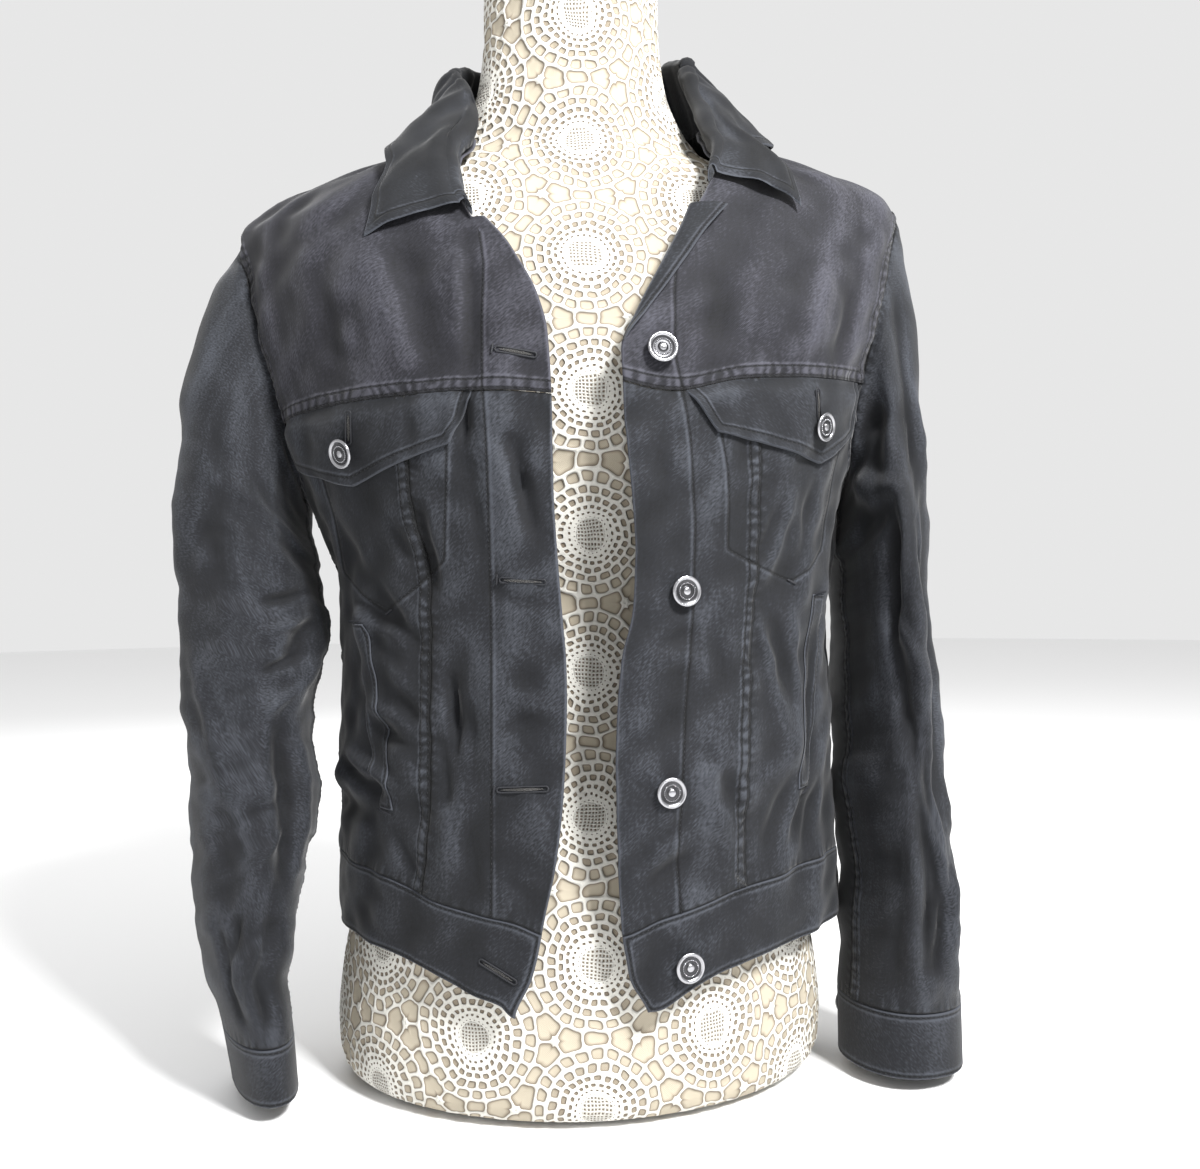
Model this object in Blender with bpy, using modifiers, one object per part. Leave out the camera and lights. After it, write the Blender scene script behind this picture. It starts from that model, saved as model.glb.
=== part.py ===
"""A worn denim jacket, hanging open on a limbless dress form.

Metres, +Z up, the front faces -Y, and -X is the wearer's right. The origin is the middle of
the form's flat base. The cloth is a set of thin walls on two kinds of surface: the body, which
is a stack of horizontal sections, and the sleeves, which are stacks of tilted rings.
"""
import math
from collections import namedtuple

import bmesh
import bpy
import numpy as np
from mathutils import Vector

# ---------------------------------------------------------------- sizes that drive everything
SEAM_GAP = 0.0003        # between two pieces at a seam
SEAM_TURN = 0.0004       # the same gap, as a part of a turn round the body
SHOULDER_TURN = 0.0012   # and at the shoulder seams, where the sections are shallow
ARMHOLE_GAP = 0.00045    # between the body and each sleeve
CLOTH = 0.0013           # one layer of denim
DOUBLE_CLOTH = 0.0024    # band, cuffs, collar and flaps are two layers
LAY_GAP = 0.0008         # between a panel and what is sewn on top of it
BODY_GIRTH = 0.90        # once round the body, to measure folds across it
SLEEVE_GIRTH = 0.31      # once round a sleeve
SLEEVE_LENGTH = 0.56     # from the armhole to the end of the cuff
BUTTON_RADIUS = 0.0086
BUTTON_HEIGHT = 0.0052
BUTTON_STEPS = 12
WELT_WIDTH = 0.0085
CUFF_LAP_AROUND = 0.53   # the cuffs' buttons, at the back of each sleeve
CUFF_LAP_SHARE = 0.07    # of the cuff's length, where its end laps over its start
COLLAR_BOW = 0.003       # the fall of the collar is this much rounded
COLLAR_STAND_SHARE, COLLAR_ROLL_SHARE = 0.30, 0.46
COLLAR_ACROSS = (0.0, 0.16, 0.30, 0.34, 0.38, 0.42, 0.46, 0.64, 0.82, 1.0)

RIGHT, LEFT = -1, 1      # the wearer's right is -X
WORD = {RIGHT: "right", LEFT: "left"}

# A button's outline from the middle of its face to the foot of its shank, as parts of its
# radius and height.
BUTTON_PROFILE = [(0, 0.97), (0.24, 0.92), (0.34, 0.78), (0.72, 0.79), (0.86, 0.95),
                  (1.0, 0.72), (0.36, 0.46), (0.36, 0), (0, 0)]

# Horizontal sections of the body from hem to neck: half widths to each side, depth to front
# and back, and how square the front and back halves are (2 is an ellipse).
Section = namedtuple("Section", "z wearer_right wearer_left front back front_power back_power")
SECTIONS = [
    Section(0.040, 0.1515, 0.1675, 0.139, 0.126, 1.85, 2.1),
    Section(0.085, 0.1515, 0.1680, 0.139, 0.127, 1.85, 2.1),
    Section(0.130, 0.1520, 0.1660, 0.140, 0.128, 1.85, 2.1),
    Section(0.180, 0.1520, 0.1630, 0.140, 0.128, 1.90, 2.1),
    Section(0.260, 0.1500, 0.1625, 0.139, 0.122, 1.95, 2.1),
    Section(0.305, 0.1515, 0.1640, 0.140, 0.121, 2.00, 2.1),
    Section(0.345, 0.1640, 0.1690, 0.141, 0.120, 2.05, 2.1),
    Section(0.400, 0.1850, 0.1790, 0.142, 0.122, 2.15, 2.1),
    Section(0.450, 0.1985, 0.1945, 0.136, 0.122, 2.20, 2.1),
    Section(0.500, 0.2080, 0.2070, 0.116, 0.117, 2.20, 2.1),
    Section(0.520, 0.2070, 0.2105, 0.103, 0.112, 2.20, 2.1),
    Section(0.530, 0.1975, 0.2120, 0.095, 0.109, 2.20, 2.1),
    Section(0.538, 0.1885, 0.2125, 0.0875, 0.1065, 2.20, 2.1),
    Section(0.545, 0.1780, 0.2085, 0.0815, 0.104, 2.20, 2.1),
    Section(0.551, 0.1650, 0.2000, 0.0765, 0.101, 2.20, 2.1),
    Section(0.556, 0.1530, 0.1905, 0.072, 0.099, 2.20, 2.1),
    Section(0.561, 0.1395, 0.1775, 0.0675, 0.0965, 2.15, 2.1),
    Section(0.566, 0.1262, 0.1650, 0.063, 0.094, 2.10, 2.1),
    Section(0.571, 0.1130, 0.1515, 0.0585, 0.091, 2.05, 2.0),
    Section(0.577, 0.1000, 0.1340, 0.053, 0.087, 2.00, 2.0),
    Section(0.583, 0.0905, 0.1130, 0.0475, 0.082, 2.00, 2.0),
    Section(0.589, 0.0840, 0.0960, 0.0425, 0.077, 2.00, 2.0),
    Section(0.595, 0.0800, 0.0860, 0.039, 0.073, 2.00, 2.0),
    Section(0.603, 0.0775, 0.0790, 0.036, 0.069, 2.00, 2.0),
    Section(0.610, 0.0765, 0.0775, 0.034, 0.066, 2.00, 2.0),
]

# The neckline, from the end of the collar to the centre back. A turn is once round the body.
NeckPoint = namedtuple("NeckPoint", "turn z")
NECKLINE = {
    RIGHT: [
        NeckPoint(0.0440, 0.5110),
        NeckPoint(0.0560, 0.5400),
        NeckPoint(0.0850, 0.5680),
        NeckPoint(0.1280, 0.5830),
        NeckPoint(0.1570, 0.5890),
        NeckPoint(0.2140, 0.5950),
        NeckPoint(0.3300, 0.6000),
        NeckPoint(0.5000, 0.6030),
    ],
    LEFT: [
        NeckPoint(0.0440, 0.5200),
        NeckPoint(0.0560, 0.5480),
        NeckPoint(0.0850, 0.5720),
        NeckPoint(0.1280, 0.5850),
        NeckPoint(0.1570, 0.5900),
        NeckPoint(0.2140, 0.5960),
        NeckPoint(0.3300, 0.6005),
        NeckPoint(0.5000, 0.6030),
    ],
}
SHOULDER_SEAM_TURN = 0.157   # where the shoulder seams meet the neckline

# The two front edges: how far each stands from the middle at each height.
EdgePoint = namedtuple("EdgePoint", "z x")
FRONT_EDGE = {
    RIGHT: [
        EdgePoint(0.060, -0.0455),
        EdgePoint(0.070, -0.0445),
        EdgePoint(0.090, -0.0360),
        EdgePoint(0.125, -0.0285),
        EdgePoint(0.157, -0.0215),
        EdgePoint(0.195, -0.0175),
        EdgePoint(0.250, -0.0152),
        EdgePoint(0.300, -0.0185),
        EdgePoint(0.360, -0.0218),
        EdgePoint(0.405, -0.0222),
        EdgePoint(0.440, -0.0238),
        EdgePoint(0.462, -0.0290),
        EdgePoint(0.480, -0.0370),
        EdgePoint(0.500, -0.0490),
        EdgePoint(0.520, -0.0640),
    ],
    LEFT: [
        EdgePoint(0.060, 0.0300),
        EdgePoint(0.070, 0.0276),
        EdgePoint(0.090, 0.0170),
        EdgePoint(0.125, 0.0122),
        EdgePoint(0.200, 0.0104),
        EdgePoint(0.258, 0.0138),
        EdgePoint(0.290, 0.0208),
        EdgePoint(0.320, 0.0226),
        EdgePoint(0.360, 0.0196),
        EdgePoint(0.411, 0.0159),
        EdgePoint(0.430, 0.0155),
        EdgePoint(0.451, 0.0243),
        EdgePoint(0.484, 0.0419),
        EdgePoint(0.505, 0.0530),
        EdgePoint(0.520, 0.0600),
    ],
}

# The long felled seam down each front, from the yoke to the band.
FRONT_SEAM = {
    RIGHT: [
        EdgePoint(0.120, -0.0975),
        EdgePoint(0.170, -0.0913),
        EdgePoint(0.244, -0.0895),
        EdgePoint(0.300, -0.0894),
        EdgePoint(0.320, -0.0925),
        EdgePoint(0.343, -0.0985),
        EdgePoint(0.412, -0.1010),
    ],
    LEFT: [
        EdgePoint(0.120, 0.0876),
        EdgePoint(0.155, 0.0856),
        EdgePoint(0.200, 0.0870),
        EdgePoint(0.279, 0.0926),
        EdgePoint(0.345, 0.0962),
        EdgePoint(0.430, 0.0945),
    ],
}
BACK_SEAM = [EdgePoint(0.100, 0.060), EdgePoint(0.260, 0.066), EdgePoint(0.450, 0.100)]

# Height of the yoke's seam, and of the band's two edges, by the turn from the centre front.
Level = namedtuple("Level", "turn z")
YOKE_SEAM = {
    RIGHT: [Level(0.000, 0.404), Level(0.040, 0.408), Level(0.120, 0.406), Level(0.230, 0.400)],
    LEFT: [Level(0.000, 0.415), Level(0.035, 0.408), Level(0.070, 0.416), Level(0.190, 0.425)],
}
BAND_TOP = [
    Level(-0.250, 0.140),
    Level(-0.145, 0.137),
    Level(-0.100, 0.127),
    Level(-0.055, 0.120),
    Level(-0.025, 0.112),
    Level(0.013, 0.113),
    Level(0.040, 0.121),
    Level(0.100, 0.133),
    Level(0.150, 0.137),
    Level(0.250, 0.136),
]
BAND_BOTTOM = [
    Level(-0.250, 0.095),
    Level(-0.145, 0.093),
    Level(-0.100, 0.086),
    Level(-0.072, 0.078),
    Level(-0.050, 0.075),
    Level(-0.036, 0.0685),
    Level(0.020, 0.0700),
    Level(0.050, 0.0800),
    Level(0.080, 0.0880),
    Level(0.150, 0.0940),
    Level(0.250, 0.0930),
]
BAND_BACK_TOP = 0.137
BAND_BACK_BOTTOM = 0.094
BACK_YOKE_SEAM = 0.448

# Each armhole is an oval on the body's surface. The seams that meet it are at these places
# round it, as parts of a turn: 0 to the front, 0.25 at the top, 0.5 to the back.
Armhole = namedtuple("Armhole", "turn top bottom front_reach back_reach")
ARMHOLE = {
    RIGHT: Armhole(-0.250, 0.522, 0.362, 0.050, 0.060),
    LEFT: Armhole(0.250, 0.541, 0.366, 0.068, 0.056),
}
ARMHOLE_POWER = 2.3
SHOULDER_MEETS_ARMHOLE = 0.200
BACK_YOKE_MEETS_ARMHOLE = 0.500
SIDE_MEETS_ARMHOLE = 0.750
SLEEVE_BACK_SEAM = 0.53125
ARMHOLE_STEPS = {"front_yoke": 7, "back_yoke": 9, "back_side": 7, "front_side": 6}
CENTRE_STEPS = 5         # columns of cloth across each front's centre panel
HEAD_STEPS = 3           # columns of the side panels that end at a yoke
BACK_STEPS = 20          # columns of the back's centre panel
PANEL_ROWS = 11

# Rings of each sleeve from the armhole to the end of the cuff: the ring's middle, its half
# widths from inner to outer side and from front to back, the rise of its outer side and its
# turn as seen from above, in degrees.
Ring = namedtuple("Ring", "along x y z across deep tilt twist")
SLEEVE_RINGS = {
    RIGHT: [
        Ring(0.000, 0.1900, 0.000, 0.447, 0.0840, 0.0600, 77, 0),
        Ring(0.071, 0.2010, -0.002, 0.419, 0.0710, 0.0620, 66, 0),
        Ring(0.153, 0.2060, -0.005, 0.381, 0.0605, 0.0640, 50, 0),
        Ring(0.258, 0.2045, -0.009, 0.335, 0.0485, 0.0650, 30, 0),
        Ring(0.369, 0.2020, -0.014, 0.287, 0.0455, 0.0640, 14, 2),
        Ring(0.511, 0.2042, -0.022, 0.226, 0.0377, 0.0600, 5, 5),
        Ring(0.638, 0.2004, -0.030, 0.174, 0.0364, 0.0560, 2, 8),
        Ring(0.751, 0.2026, -0.038, 0.128, 0.0300, 0.0530, 0, 12),
        Ring(0.853, 0.2040, -0.047, 0.083, 0.0227, 0.0510, 0, 16),
        Ring(0.918, 0.1969, -0.051, 0.045, 0.0190, 0.0490, 0, 20),
        Ring(1.000, 0.1935, -0.046, 0.0095, 0.0180, 0.0475, 0, 18),
    ],
    LEFT: [
        Ring(0.000, 0.1900, 0.000, 0.451, 0.0850, 0.0640, 77, 0),
        Ring(0.071, 0.1960, -0.002, 0.421, 0.0690, 0.0670, 72, 0),
        Ring(0.153, 0.1935, -0.005, 0.381, 0.0550, 0.0700, 66, 0),
        Ring(0.258, 0.1950, -0.010, 0.336, 0.0370, 0.0720, 54, 0),
        Ring(0.369, 0.1942, -0.015, 0.286, 0.0255, 0.0700, 28, 0),
        Ring(0.511, 0.1930, -0.023, 0.222, 0.0235, 0.0660, 8, -4),
        Ring(0.638, 0.1942, -0.031, 0.167, 0.0255, 0.0600, 0, -6),
        Ring(0.751, 0.1968, -0.038, 0.118, 0.0275, 0.0550, 0, -8),
        Ring(0.853, 0.1955, -0.043, 0.077, 0.0300, 0.0490, 0, -10),
        Ring(0.918, 0.1955, -0.046, 0.0465, 0.0340, 0.0430, 0, -14),
        Ring(1.000, 0.1955, -0.048, 0.0075, 0.0350, 0.0415, 0, -14),
    ],
}
CUFF_STARTS = 0.918
SLEEVE_POWER = 2.15
SLEEVE_ROWS = 14

# The largest folds: a soft ridge, or a trough where the height is negative, between two places.
Fold = namedtuple("Fold", "turn_a at_a turn_b at_b width height")
BODY_FOLDS = [
    Fold(-0.078, 0.500, -0.070, 0.425, 0.012, -0.0060),   # hollow beside the right placket
    Fold(-0.095, 0.490, -0.088, 0.430, 0.011, 0.0035),
    Fold(-0.062, 0.398, -0.066, 0.340, 0.008, -0.0035),
    Fold(-0.030, 0.385, -0.033, 0.320, 0.010, -0.0030),
    Fold(-0.085, 0.255, -0.076, 0.205, 0.009, -0.0060),   # dark fold low on the right front
    Fold(-0.070, 0.270, -0.062, 0.180, 0.011, 0.0040),
    Fold(-0.130, 0.250, -0.112, 0.225, 0.007, -0.0030),
    Fold(-0.128, 0.205, -0.108, 0.190, 0.008, 0.0030),
    Fold(-0.240, 0.190, -0.165, 0.188, 0.008, 0.0045),    # roll over the right hip
    Fold(-0.240, 0.172, -0.160, 0.170, 0.006, -0.0045),
    Fold(-0.185, 0.340, -0.140, 0.290, 0.010, -0.0030),
    Fold(-0.175, 0.300, -0.150, 0.240, 0.010, 0.0030),
    Fold(-0.070, 0.160, -0.040, 0.150, 0.008, -0.0025),
    Fold(0.110, 0.250, 0.140, 0.190, 0.012, 0.0040),      # long drags over the left hip
    Fold(0.095, 0.300, 0.125, 0.210, 0.012, -0.0035),
    Fold(0.080, 0.240, 0.062, 0.160, 0.012, 0.0030),
    Fold(0.120, 0.350, 0.140, 0.300, 0.010, 0.0025),
    Fold(0.150, 0.175, 0.120, 0.155, 0.008, -0.0030),
    Fold(0.055, 0.350, 0.050, 0.230, 0.013, -0.0025),
    Fold(0.070, 0.480, 0.085, 0.440, 0.016, 0.0030),
    Fold(0.205, 0.330, 0.230, 0.240, 0.014, -0.0040),     # down the left side
    Fold(0.300, 0.340, 0.320, 0.200, 0.015, 0.0040),      # the back hangs in long soft folds
    Fold(0.350, 0.420, 0.345, 0.240, 0.016, -0.0045),
    Fold(0.395, 0.400, 0.400, 0.180, 0.017, 0.0040),
    Fold(0.450, 0.430, 0.445, 0.260, 0.015, -0.0035),
    Fold(0.500, 0.330, 0.505, 0.170, 0.016, 0.0035),
    Fold(0.555, 0.420, 0.550, 0.230, 0.016, -0.0040),
    Fold(0.610, 0.380, 0.600, 0.190, 0.016, 0.0040),
    Fold(0.660, 0.400, 0.668, 0.220, 0.015, -0.0045),
    Fold(0.705, 0.330, 0.690, 0.200, 0.013, 0.0035),
    Fold(0.400, 0.500, 0.600, 0.498, 0.020, -0.0025),
]
SLEEVE_FOLDS = {
    RIGHT: [
        Fold(0.020, 0.100, 0.060, 0.420, 0.011, -0.0030),
        Fold(0.130, 0.120, 0.160, 0.560, 0.012, 0.0030),
        Fold(0.820, 0.330, 0.900, 0.430, 0.008, -0.0050),   # elbow folds on the inner side
        Fold(0.780, 0.380, 0.880, 0.500, 0.008, 0.0045),
        Fold(0.900, 0.500, 0.915, 0.720, 0.009, -0.0070),   # long hollow along the under seam
        Fold(0.850, 0.520, 0.862, 0.740, 0.008, 0.0040),
        Fold(0.960, 0.560, 0.990, 0.780, 0.011, 0.0035),
        Fold(0.080, 0.600, 0.060, 0.840, 0.012, -0.0025),
        Fold(0.960, 0.860, 0.020, 0.910, 0.008, -0.0030),
        Fold(0.540, 0.280, 0.450, 0.420, 0.010, 0.0045),    # back of the elbow
        Fold(0.600, 0.380, 0.430, 0.480, 0.009, -0.0045),
        Fold(0.560, 0.520, 0.400, 0.600, 0.010, 0.0040),
        Fold(0.350, 0.150, 0.380, 0.700, 0.014, -0.0030),
        Fold(0.480, 0.660, 0.500, 0.880, 0.011, 0.0030),
        Fold(0.220, 0.560, 0.260, 0.880, 0.013, 0.0025),
    ],
    LEFT: [
        Fold(0.000, 0.060, 0.960, 0.170, 0.009, 0.0075),    # pinched fold at the underarm
        Fold(0.050, 0.090, 0.035, 0.220, 0.010, -0.0060),
        Fold(0.980, 0.170, 0.030, 0.560, 0.010, 0.0065),    # long lit ridge down the front
        Fold(0.080, 0.220, 0.100, 0.640, 0.011, -0.0070),
        Fold(0.140, 0.300, 0.150, 0.620, 0.011, 0.0050),
        Fold(0.930, 0.240, 0.960, 0.600, 0.010, -0.0060),
        Fold(0.020, 0.560, 0.990, 0.860, 0.010, -0.0055),
        Fold(0.065, 0.640, 0.075, 0.890, 0.009, 0.0050),
        Fold(0.130, 0.660, 0.120, 0.900, 0.009, -0.0055),
        Fold(0.940, 0.660, 0.930, 0.880, 0.009, 0.0045),
        Fold(0.200, 0.500, 0.190, 0.880, 0.010, 0.0040),
        Fold(0.250, 0.200, 0.240, 0.460, 0.012, -0.0035),
        Fold(0.420, 0.300, 0.560, 0.400, 0.010, -0.0045),
        Fold(0.420, 0.380, 0.560, 0.480, 0.010, 0.0045),
        Fold(0.480, 0.520, 0.470, 0.860, 0.011, 0.0040),
        Fold(0.350, 0.360, 0.340, 0.820, 0.012, -0.0045),
    ],
}

# Cross lines of the collar, from the wearer's right front end round the back to the left one.
# The roll is how high above the neckline, and how far in towards the neck, the collar folds
# over. The free edge is given by its place on the body and its lift off it.
CollarLine = namedtuple("CollarLine", "around roll_up roll_in edge_around edge_z edge_lift")
COLLAR = [
    CollarLine(0.0440, 0.008, 0.003, 0.0960, 0.4985, 0.004),
    CollarLine(0.0560, 0.009, 0.004, 0.0920, 0.5170, 0.006),
    CollarLine(0.0850, 0.012, 0.006, 0.0945, 0.5370, 0.007),
    CollarLine(0.1280, 0.024, 0.010, 0.1270, 0.5570, 0.006),
    CollarLine(0.1830, 0.030, 0.011, 0.1850, 0.5690, 0.005),
    CollarLine(0.2500, 0.036, 0.012, 0.2500, 0.5750, 0.006),
    CollarLine(0.3300, 0.043, 0.012, 0.3200, 0.5790, 0.009),
    CollarLine(0.4100, 0.048, 0.012, 0.4000, 0.5790, 0.011),
    CollarLine(0.5000, 0.048, 0.011, 0.5000, 0.5760, 0.012),
    CollarLine(0.5900, 0.049, 0.012, 0.6000, 0.5800, 0.011),
    CollarLine(0.6700, 0.048, 0.014, 0.6800, 0.5830, 0.009),
    CollarLine(0.7500, 0.043, 0.015, 0.7500, 0.5800, 0.005),
    CollarLine(0.8170, 0.037, 0.015, 0.8150, 0.5770, 0.005),
    CollarLine(0.8720, 0.026, 0.012, 0.8730, 0.5730, 0.006),
    CollarLine(0.9150, 0.015, 0.008, 0.9030, 0.5550, 0.007),
    CollarLine(0.9400, 0.011, 0.004, 0.9060, 0.5380, 0.006),
    CollarLine(0.9500, 0.010, 0.003, 0.9030, 0.5210, 0.004),
]
COLLAR_STEPS = 30
COLLAR_ROLL_RADIUS = 0.0036

# Pocket flaps. The long edges are at turns round the body; the two low corners and the point
# between them have a turn and a height.
Flap = namedtuple("Flap", "top_inner top_outer low_inner low_outer point point_z low_z_in low_z_out")
FLAPS = {
    RIGHT: Flap(-0.0510, -0.1980, -0.0670, -0.2020, -0.1380, 0.3600, 0.3800, 0.3740),
    LEFT: Flap(0.0410, 0.1790, 0.0600, 0.1810, 0.1380, 0.3720, 0.3860, 0.3920),
}

# The slanted welts of the hand pockets.
Welt = namedtuple("Welt", "top_x top_z low_x low_z")
WELTS = {
    RIGHT: Welt(-0.1300, 0.2820, -0.1160, 0.1760),
    LEFT: Welt(0.1385, 0.2960, 0.1265, 0.1820),
}

# The strip of the left front that is folded back at the neck, from its fold to its free edge.
LapelRow = namedtuple("LapelRow", "z spread")
LAPEL = [
    LapelRow(0.4330, 0.0012),
    LapelRow(0.4510, 0.0060),
    LapelRow(0.4620, 0.0088),
    LapelRow(0.4850, 0.0130),
    LapelRow(0.5000, 0.0155),
    LapelRow(0.5180, 0.0225),
]
LAPEL_LIFT = 0.0030      # the free edge stands this far off the yoke

# Shank buttons: on the left front, on the flaps and on the back of the cuffs.
ButtonPlace = namedtuple("ButtonPlace", "name x z")
FRONT_BUTTONS = [
    ButtonPlace("button_front_1", 0.0375, 0.4300),
    ButtonPlace("button_front_2", 0.0500, 0.2990),
    ButtonPlace("button_front_3", 0.0395, 0.1900),
    ButtonPlace("button_front_4", 0.0490, 0.0940),
]
FLAP_BUTTONS = {
    RIGHT: ButtonPlace("button_pocket_right", -0.1335, 0.3790),
    LEFT: ButtonPlace("button_pocket_left", 0.1320, 0.3930),
}

# The dress form, from its flat base to the top of its neck.
FormSection = namedtuple("FormSection", "z half front back power")
FORM = [
    FormSection(0.000, 0.1400, 0.1080, 0.1060, 1.95),
    FormSection(0.004, 0.1475, 0.1160, 0.1130, 1.95),
    FormSection(0.014, 0.1530, 0.1215, 0.1180, 1.95),
    FormSection(0.035, 0.1542, 0.1230, 0.1190, 1.95),
    FormSection(0.065, 0.1515, 0.1215, 0.1180, 1.95),
    FormSection(0.095, 0.1465, 0.1180, 0.1160, 1.95),
    FormSection(0.150, 0.1380, 0.1080, 0.1060, 1.98),
    FormSection(0.220, 0.1210, 0.0930, 0.0900, 2.0),
    FormSection(0.280, 0.1170, 0.0900, 0.0850, 2.0),
    FormSection(0.350, 0.1280, 0.1040, 0.0900, 2.0),
    FormSection(0.410, 0.1400, 0.1160, 0.0950, 2.05),
    FormSection(0.450, 0.1480, 0.1130, 0.0970, 2.1),
    FormSection(0.490, 0.1600, 0.1000, 0.0960, 2.1),
    FormSection(0.520, 0.1680, 0.0850, 0.0905, 2.1),
    FormSection(0.534, 0.1690, 0.0775, 0.0860, 2.05),
    FormSection(0.544, 0.1640, 0.0715, 0.0820, 1.95),
    FormSection(0.552, 0.1530, 0.0670, 0.0790, 1.85),
    FormSection(0.560, 0.1350, 0.0630, 0.0755, 1.7),
    FormSection(0.568, 0.1145, 0.0595, 0.0715, 1.55),
    FormSection(0.576, 0.0940, 0.0560, 0.0670, 1.5),
    FormSection(0.584, 0.0815, 0.0535, 0.0625, 1.6),
    FormSection(0.597, 0.0710, 0.0515, 0.0575, 1.75),
    FormSection(0.620, 0.0610, 0.0500, 0.0515, 1.95),
    FormSection(0.650, 0.0570, 0.0500, 0.0500, 2.0),
    FormSection(0.700, 0.0555, 0.0500, 0.0500, 2.0),
    FormSection(0.708, 0.0530, 0.0480, 0.0480, 2.0),
    FormSection(0.711, 0.0470, 0.0420, 0.0420, 2.0),
]
FORM_STEPS = 32


# ---------------------------------------------------------------- curves and surfaces
class Curve:
    """A smooth line through a table's rows that never swings past them."""

    def __init__(self, places, values):
        self.places = np.array(places, float)
        self.values = np.array(values, float)
        step = np.diff(self.places)
        slope = np.diff(self.values) / step
        self.tangents = np.zeros(len(self.values))
        self.tangents[0], self.tangents[-1] = slope[0], slope[-1]
        for i in range(1, len(self.values) - 1):
            before, after = slope[i - 1], slope[i]
            if before * after > 0:
                weight_a = 2 * step[i] + step[i - 1]
                weight_b = step[i] + 2 * step[i - 1]
                self.tangents[i] = (weight_a + weight_b) / (weight_a / before + weight_b / after)

    def __call__(self, at):
        at = np.clip(at, self.places[0], self.places[-1])
        i = np.clip(np.searchsorted(self.places, at, side="right") - 1, 0, len(self.places) - 2)
        width = self.places[i + 1] - self.places[i]
        t = (at - self.places[i]) / width
        rest = 1 - t
        return (rest ** 2 * (1 + 2 * t) * self.values[i]
                + rest ** 2 * t * width * self.tangents[i]
                + t ** 2 * (3 - 2 * t) * self.values[i + 1]
                - t ** 2 * rest * width * self.tangents[i + 1])


def columns(rows, key):
    """One curve for each column of a table, along the column named key."""
    places = [getattr(row, key) for row in rows]
    return {name: Curve(places, [getattr(row, name) for row in rows])
            for name in rows[0]._fields if name != key}


BODY = columns(SECTIONS, "z")
EDGE_X = {side: columns(rows, "z")["x"] for side, rows in FRONT_EDGE.items()}
SEAM_X = {side: columns(rows, "z")["x"] for side, rows in FRONT_SEAM.items()}
BACK_SEAM_X = columns(BACK_SEAM, "z")["x"]
YOKE_Z = {side: columns(rows, "turn")["z"] for side, rows in YOKE_SEAM.items()}
BAND_TOP_Z = columns(BAND_TOP, "turn")["z"]
BAND_BOTTOM_Z = columns(BAND_BOTTOM, "turn")["z"]
NECK_Z = {side: columns(rows, "turn")["z"] for side, rows in NECKLINE.items()}
SLEEVE = {side: columns(rows, "along") for side, rows in SLEEVE_RINGS.items()}
DRESS_FORM = columns(FORM, "z")
COLLAR_LINES = columns(COLLAR, "around")


def signed_power(value, power):
    return np.sign(value) * np.abs(value) ** power


def unit(vectors):
    return vectors / np.linalg.norm(vectors, axis=-1, keepdims=True)


def body_base(turn, z):
    """The jacket's body without its folds."""
    angle = 2 * math.pi * turn
    across, forward = np.sin(angle), np.cos(angle)
    half = np.where(across < 0, BODY["wearer_right"](z), BODY["wearer_left"](z))
    depth = np.where(forward > 0, BODY["front"](z), BODY["back"](z))
    power = np.where(forward > 0, BODY["front_power"](z), BODY["back_power"](z))
    x = half * signed_power(across, 2 / power)
    y = -depth * signed_power(forward, 2 / power)
    return np.stack([x, y, z * np.ones_like(x)], axis=-1)


def body_normal(turn, z):
    """Outward direction of the body's surface."""
    step_turn, step_z = 0.002, 0.0015
    round_it = body_base(turn + step_turn, z) - body_base(turn - step_turn, z)
    up_it = body_base(turn, z + step_z) - body_base(turn, z - step_z)
    return unit(np.cross(round_it, up_it))


def fold_height(folds, turn, at, girth, length):
    """Height of all the folds at a place, over a surface of this girth and length."""
    total = np.zeros_like(turn * at)
    for fold in folds:
        across = (turn - fold.turn_a + 0.5) % 1.0 - 0.5
        run_turn = ((fold.turn_b - fold.turn_a + 0.5) % 1.0 - 0.5) * girth
        run_at = (fold.at_b - fold.at_a) * length
        here_turn = across * girth
        here_at = (at - fold.at_a) * length
        run = run_turn ** 2 + run_at ** 2
        along = np.clip((here_turn * run_turn + here_at * run_at) / run, 0, 1)
        away = (here_turn - along * run_turn) ** 2 + (here_at - along * run_at) ** 2
        swell = 0.35 + 0.65 * np.sin(math.pi * along)
        total = total + fold.height * swell * np.exp(-away / fold.width ** 2)
    return total


def armhole_place(side, around):
    """Turn and height of a place round the armhole."""
    hole = ARMHOLE[side]
    angle = 2 * math.pi * np.asarray(around, float)
    forward, rise = np.cos(angle), np.sin(angle)
    reach = np.where(forward > 0, hole.front_reach, hole.back_reach)
    middle = (hole.top + hole.bottom) / 2
    turn = hole.turn - side * reach * signed_power(forward, 2 / ARMHOLE_POWER)
    z = middle + (hole.top - hole.bottom) / 2 * signed_power(rise, 2 / ARMHOLE_POWER)
    return turn, z


def armhole_middle(side):
    turn, z = armhole_place(side, np.arange(24) / 24)
    return body_base(turn, z).mean(axis=0)


ARMHOLE_MIDDLE = {side: armhole_middle(side) for side in (RIGHT, LEFT)}


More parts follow.
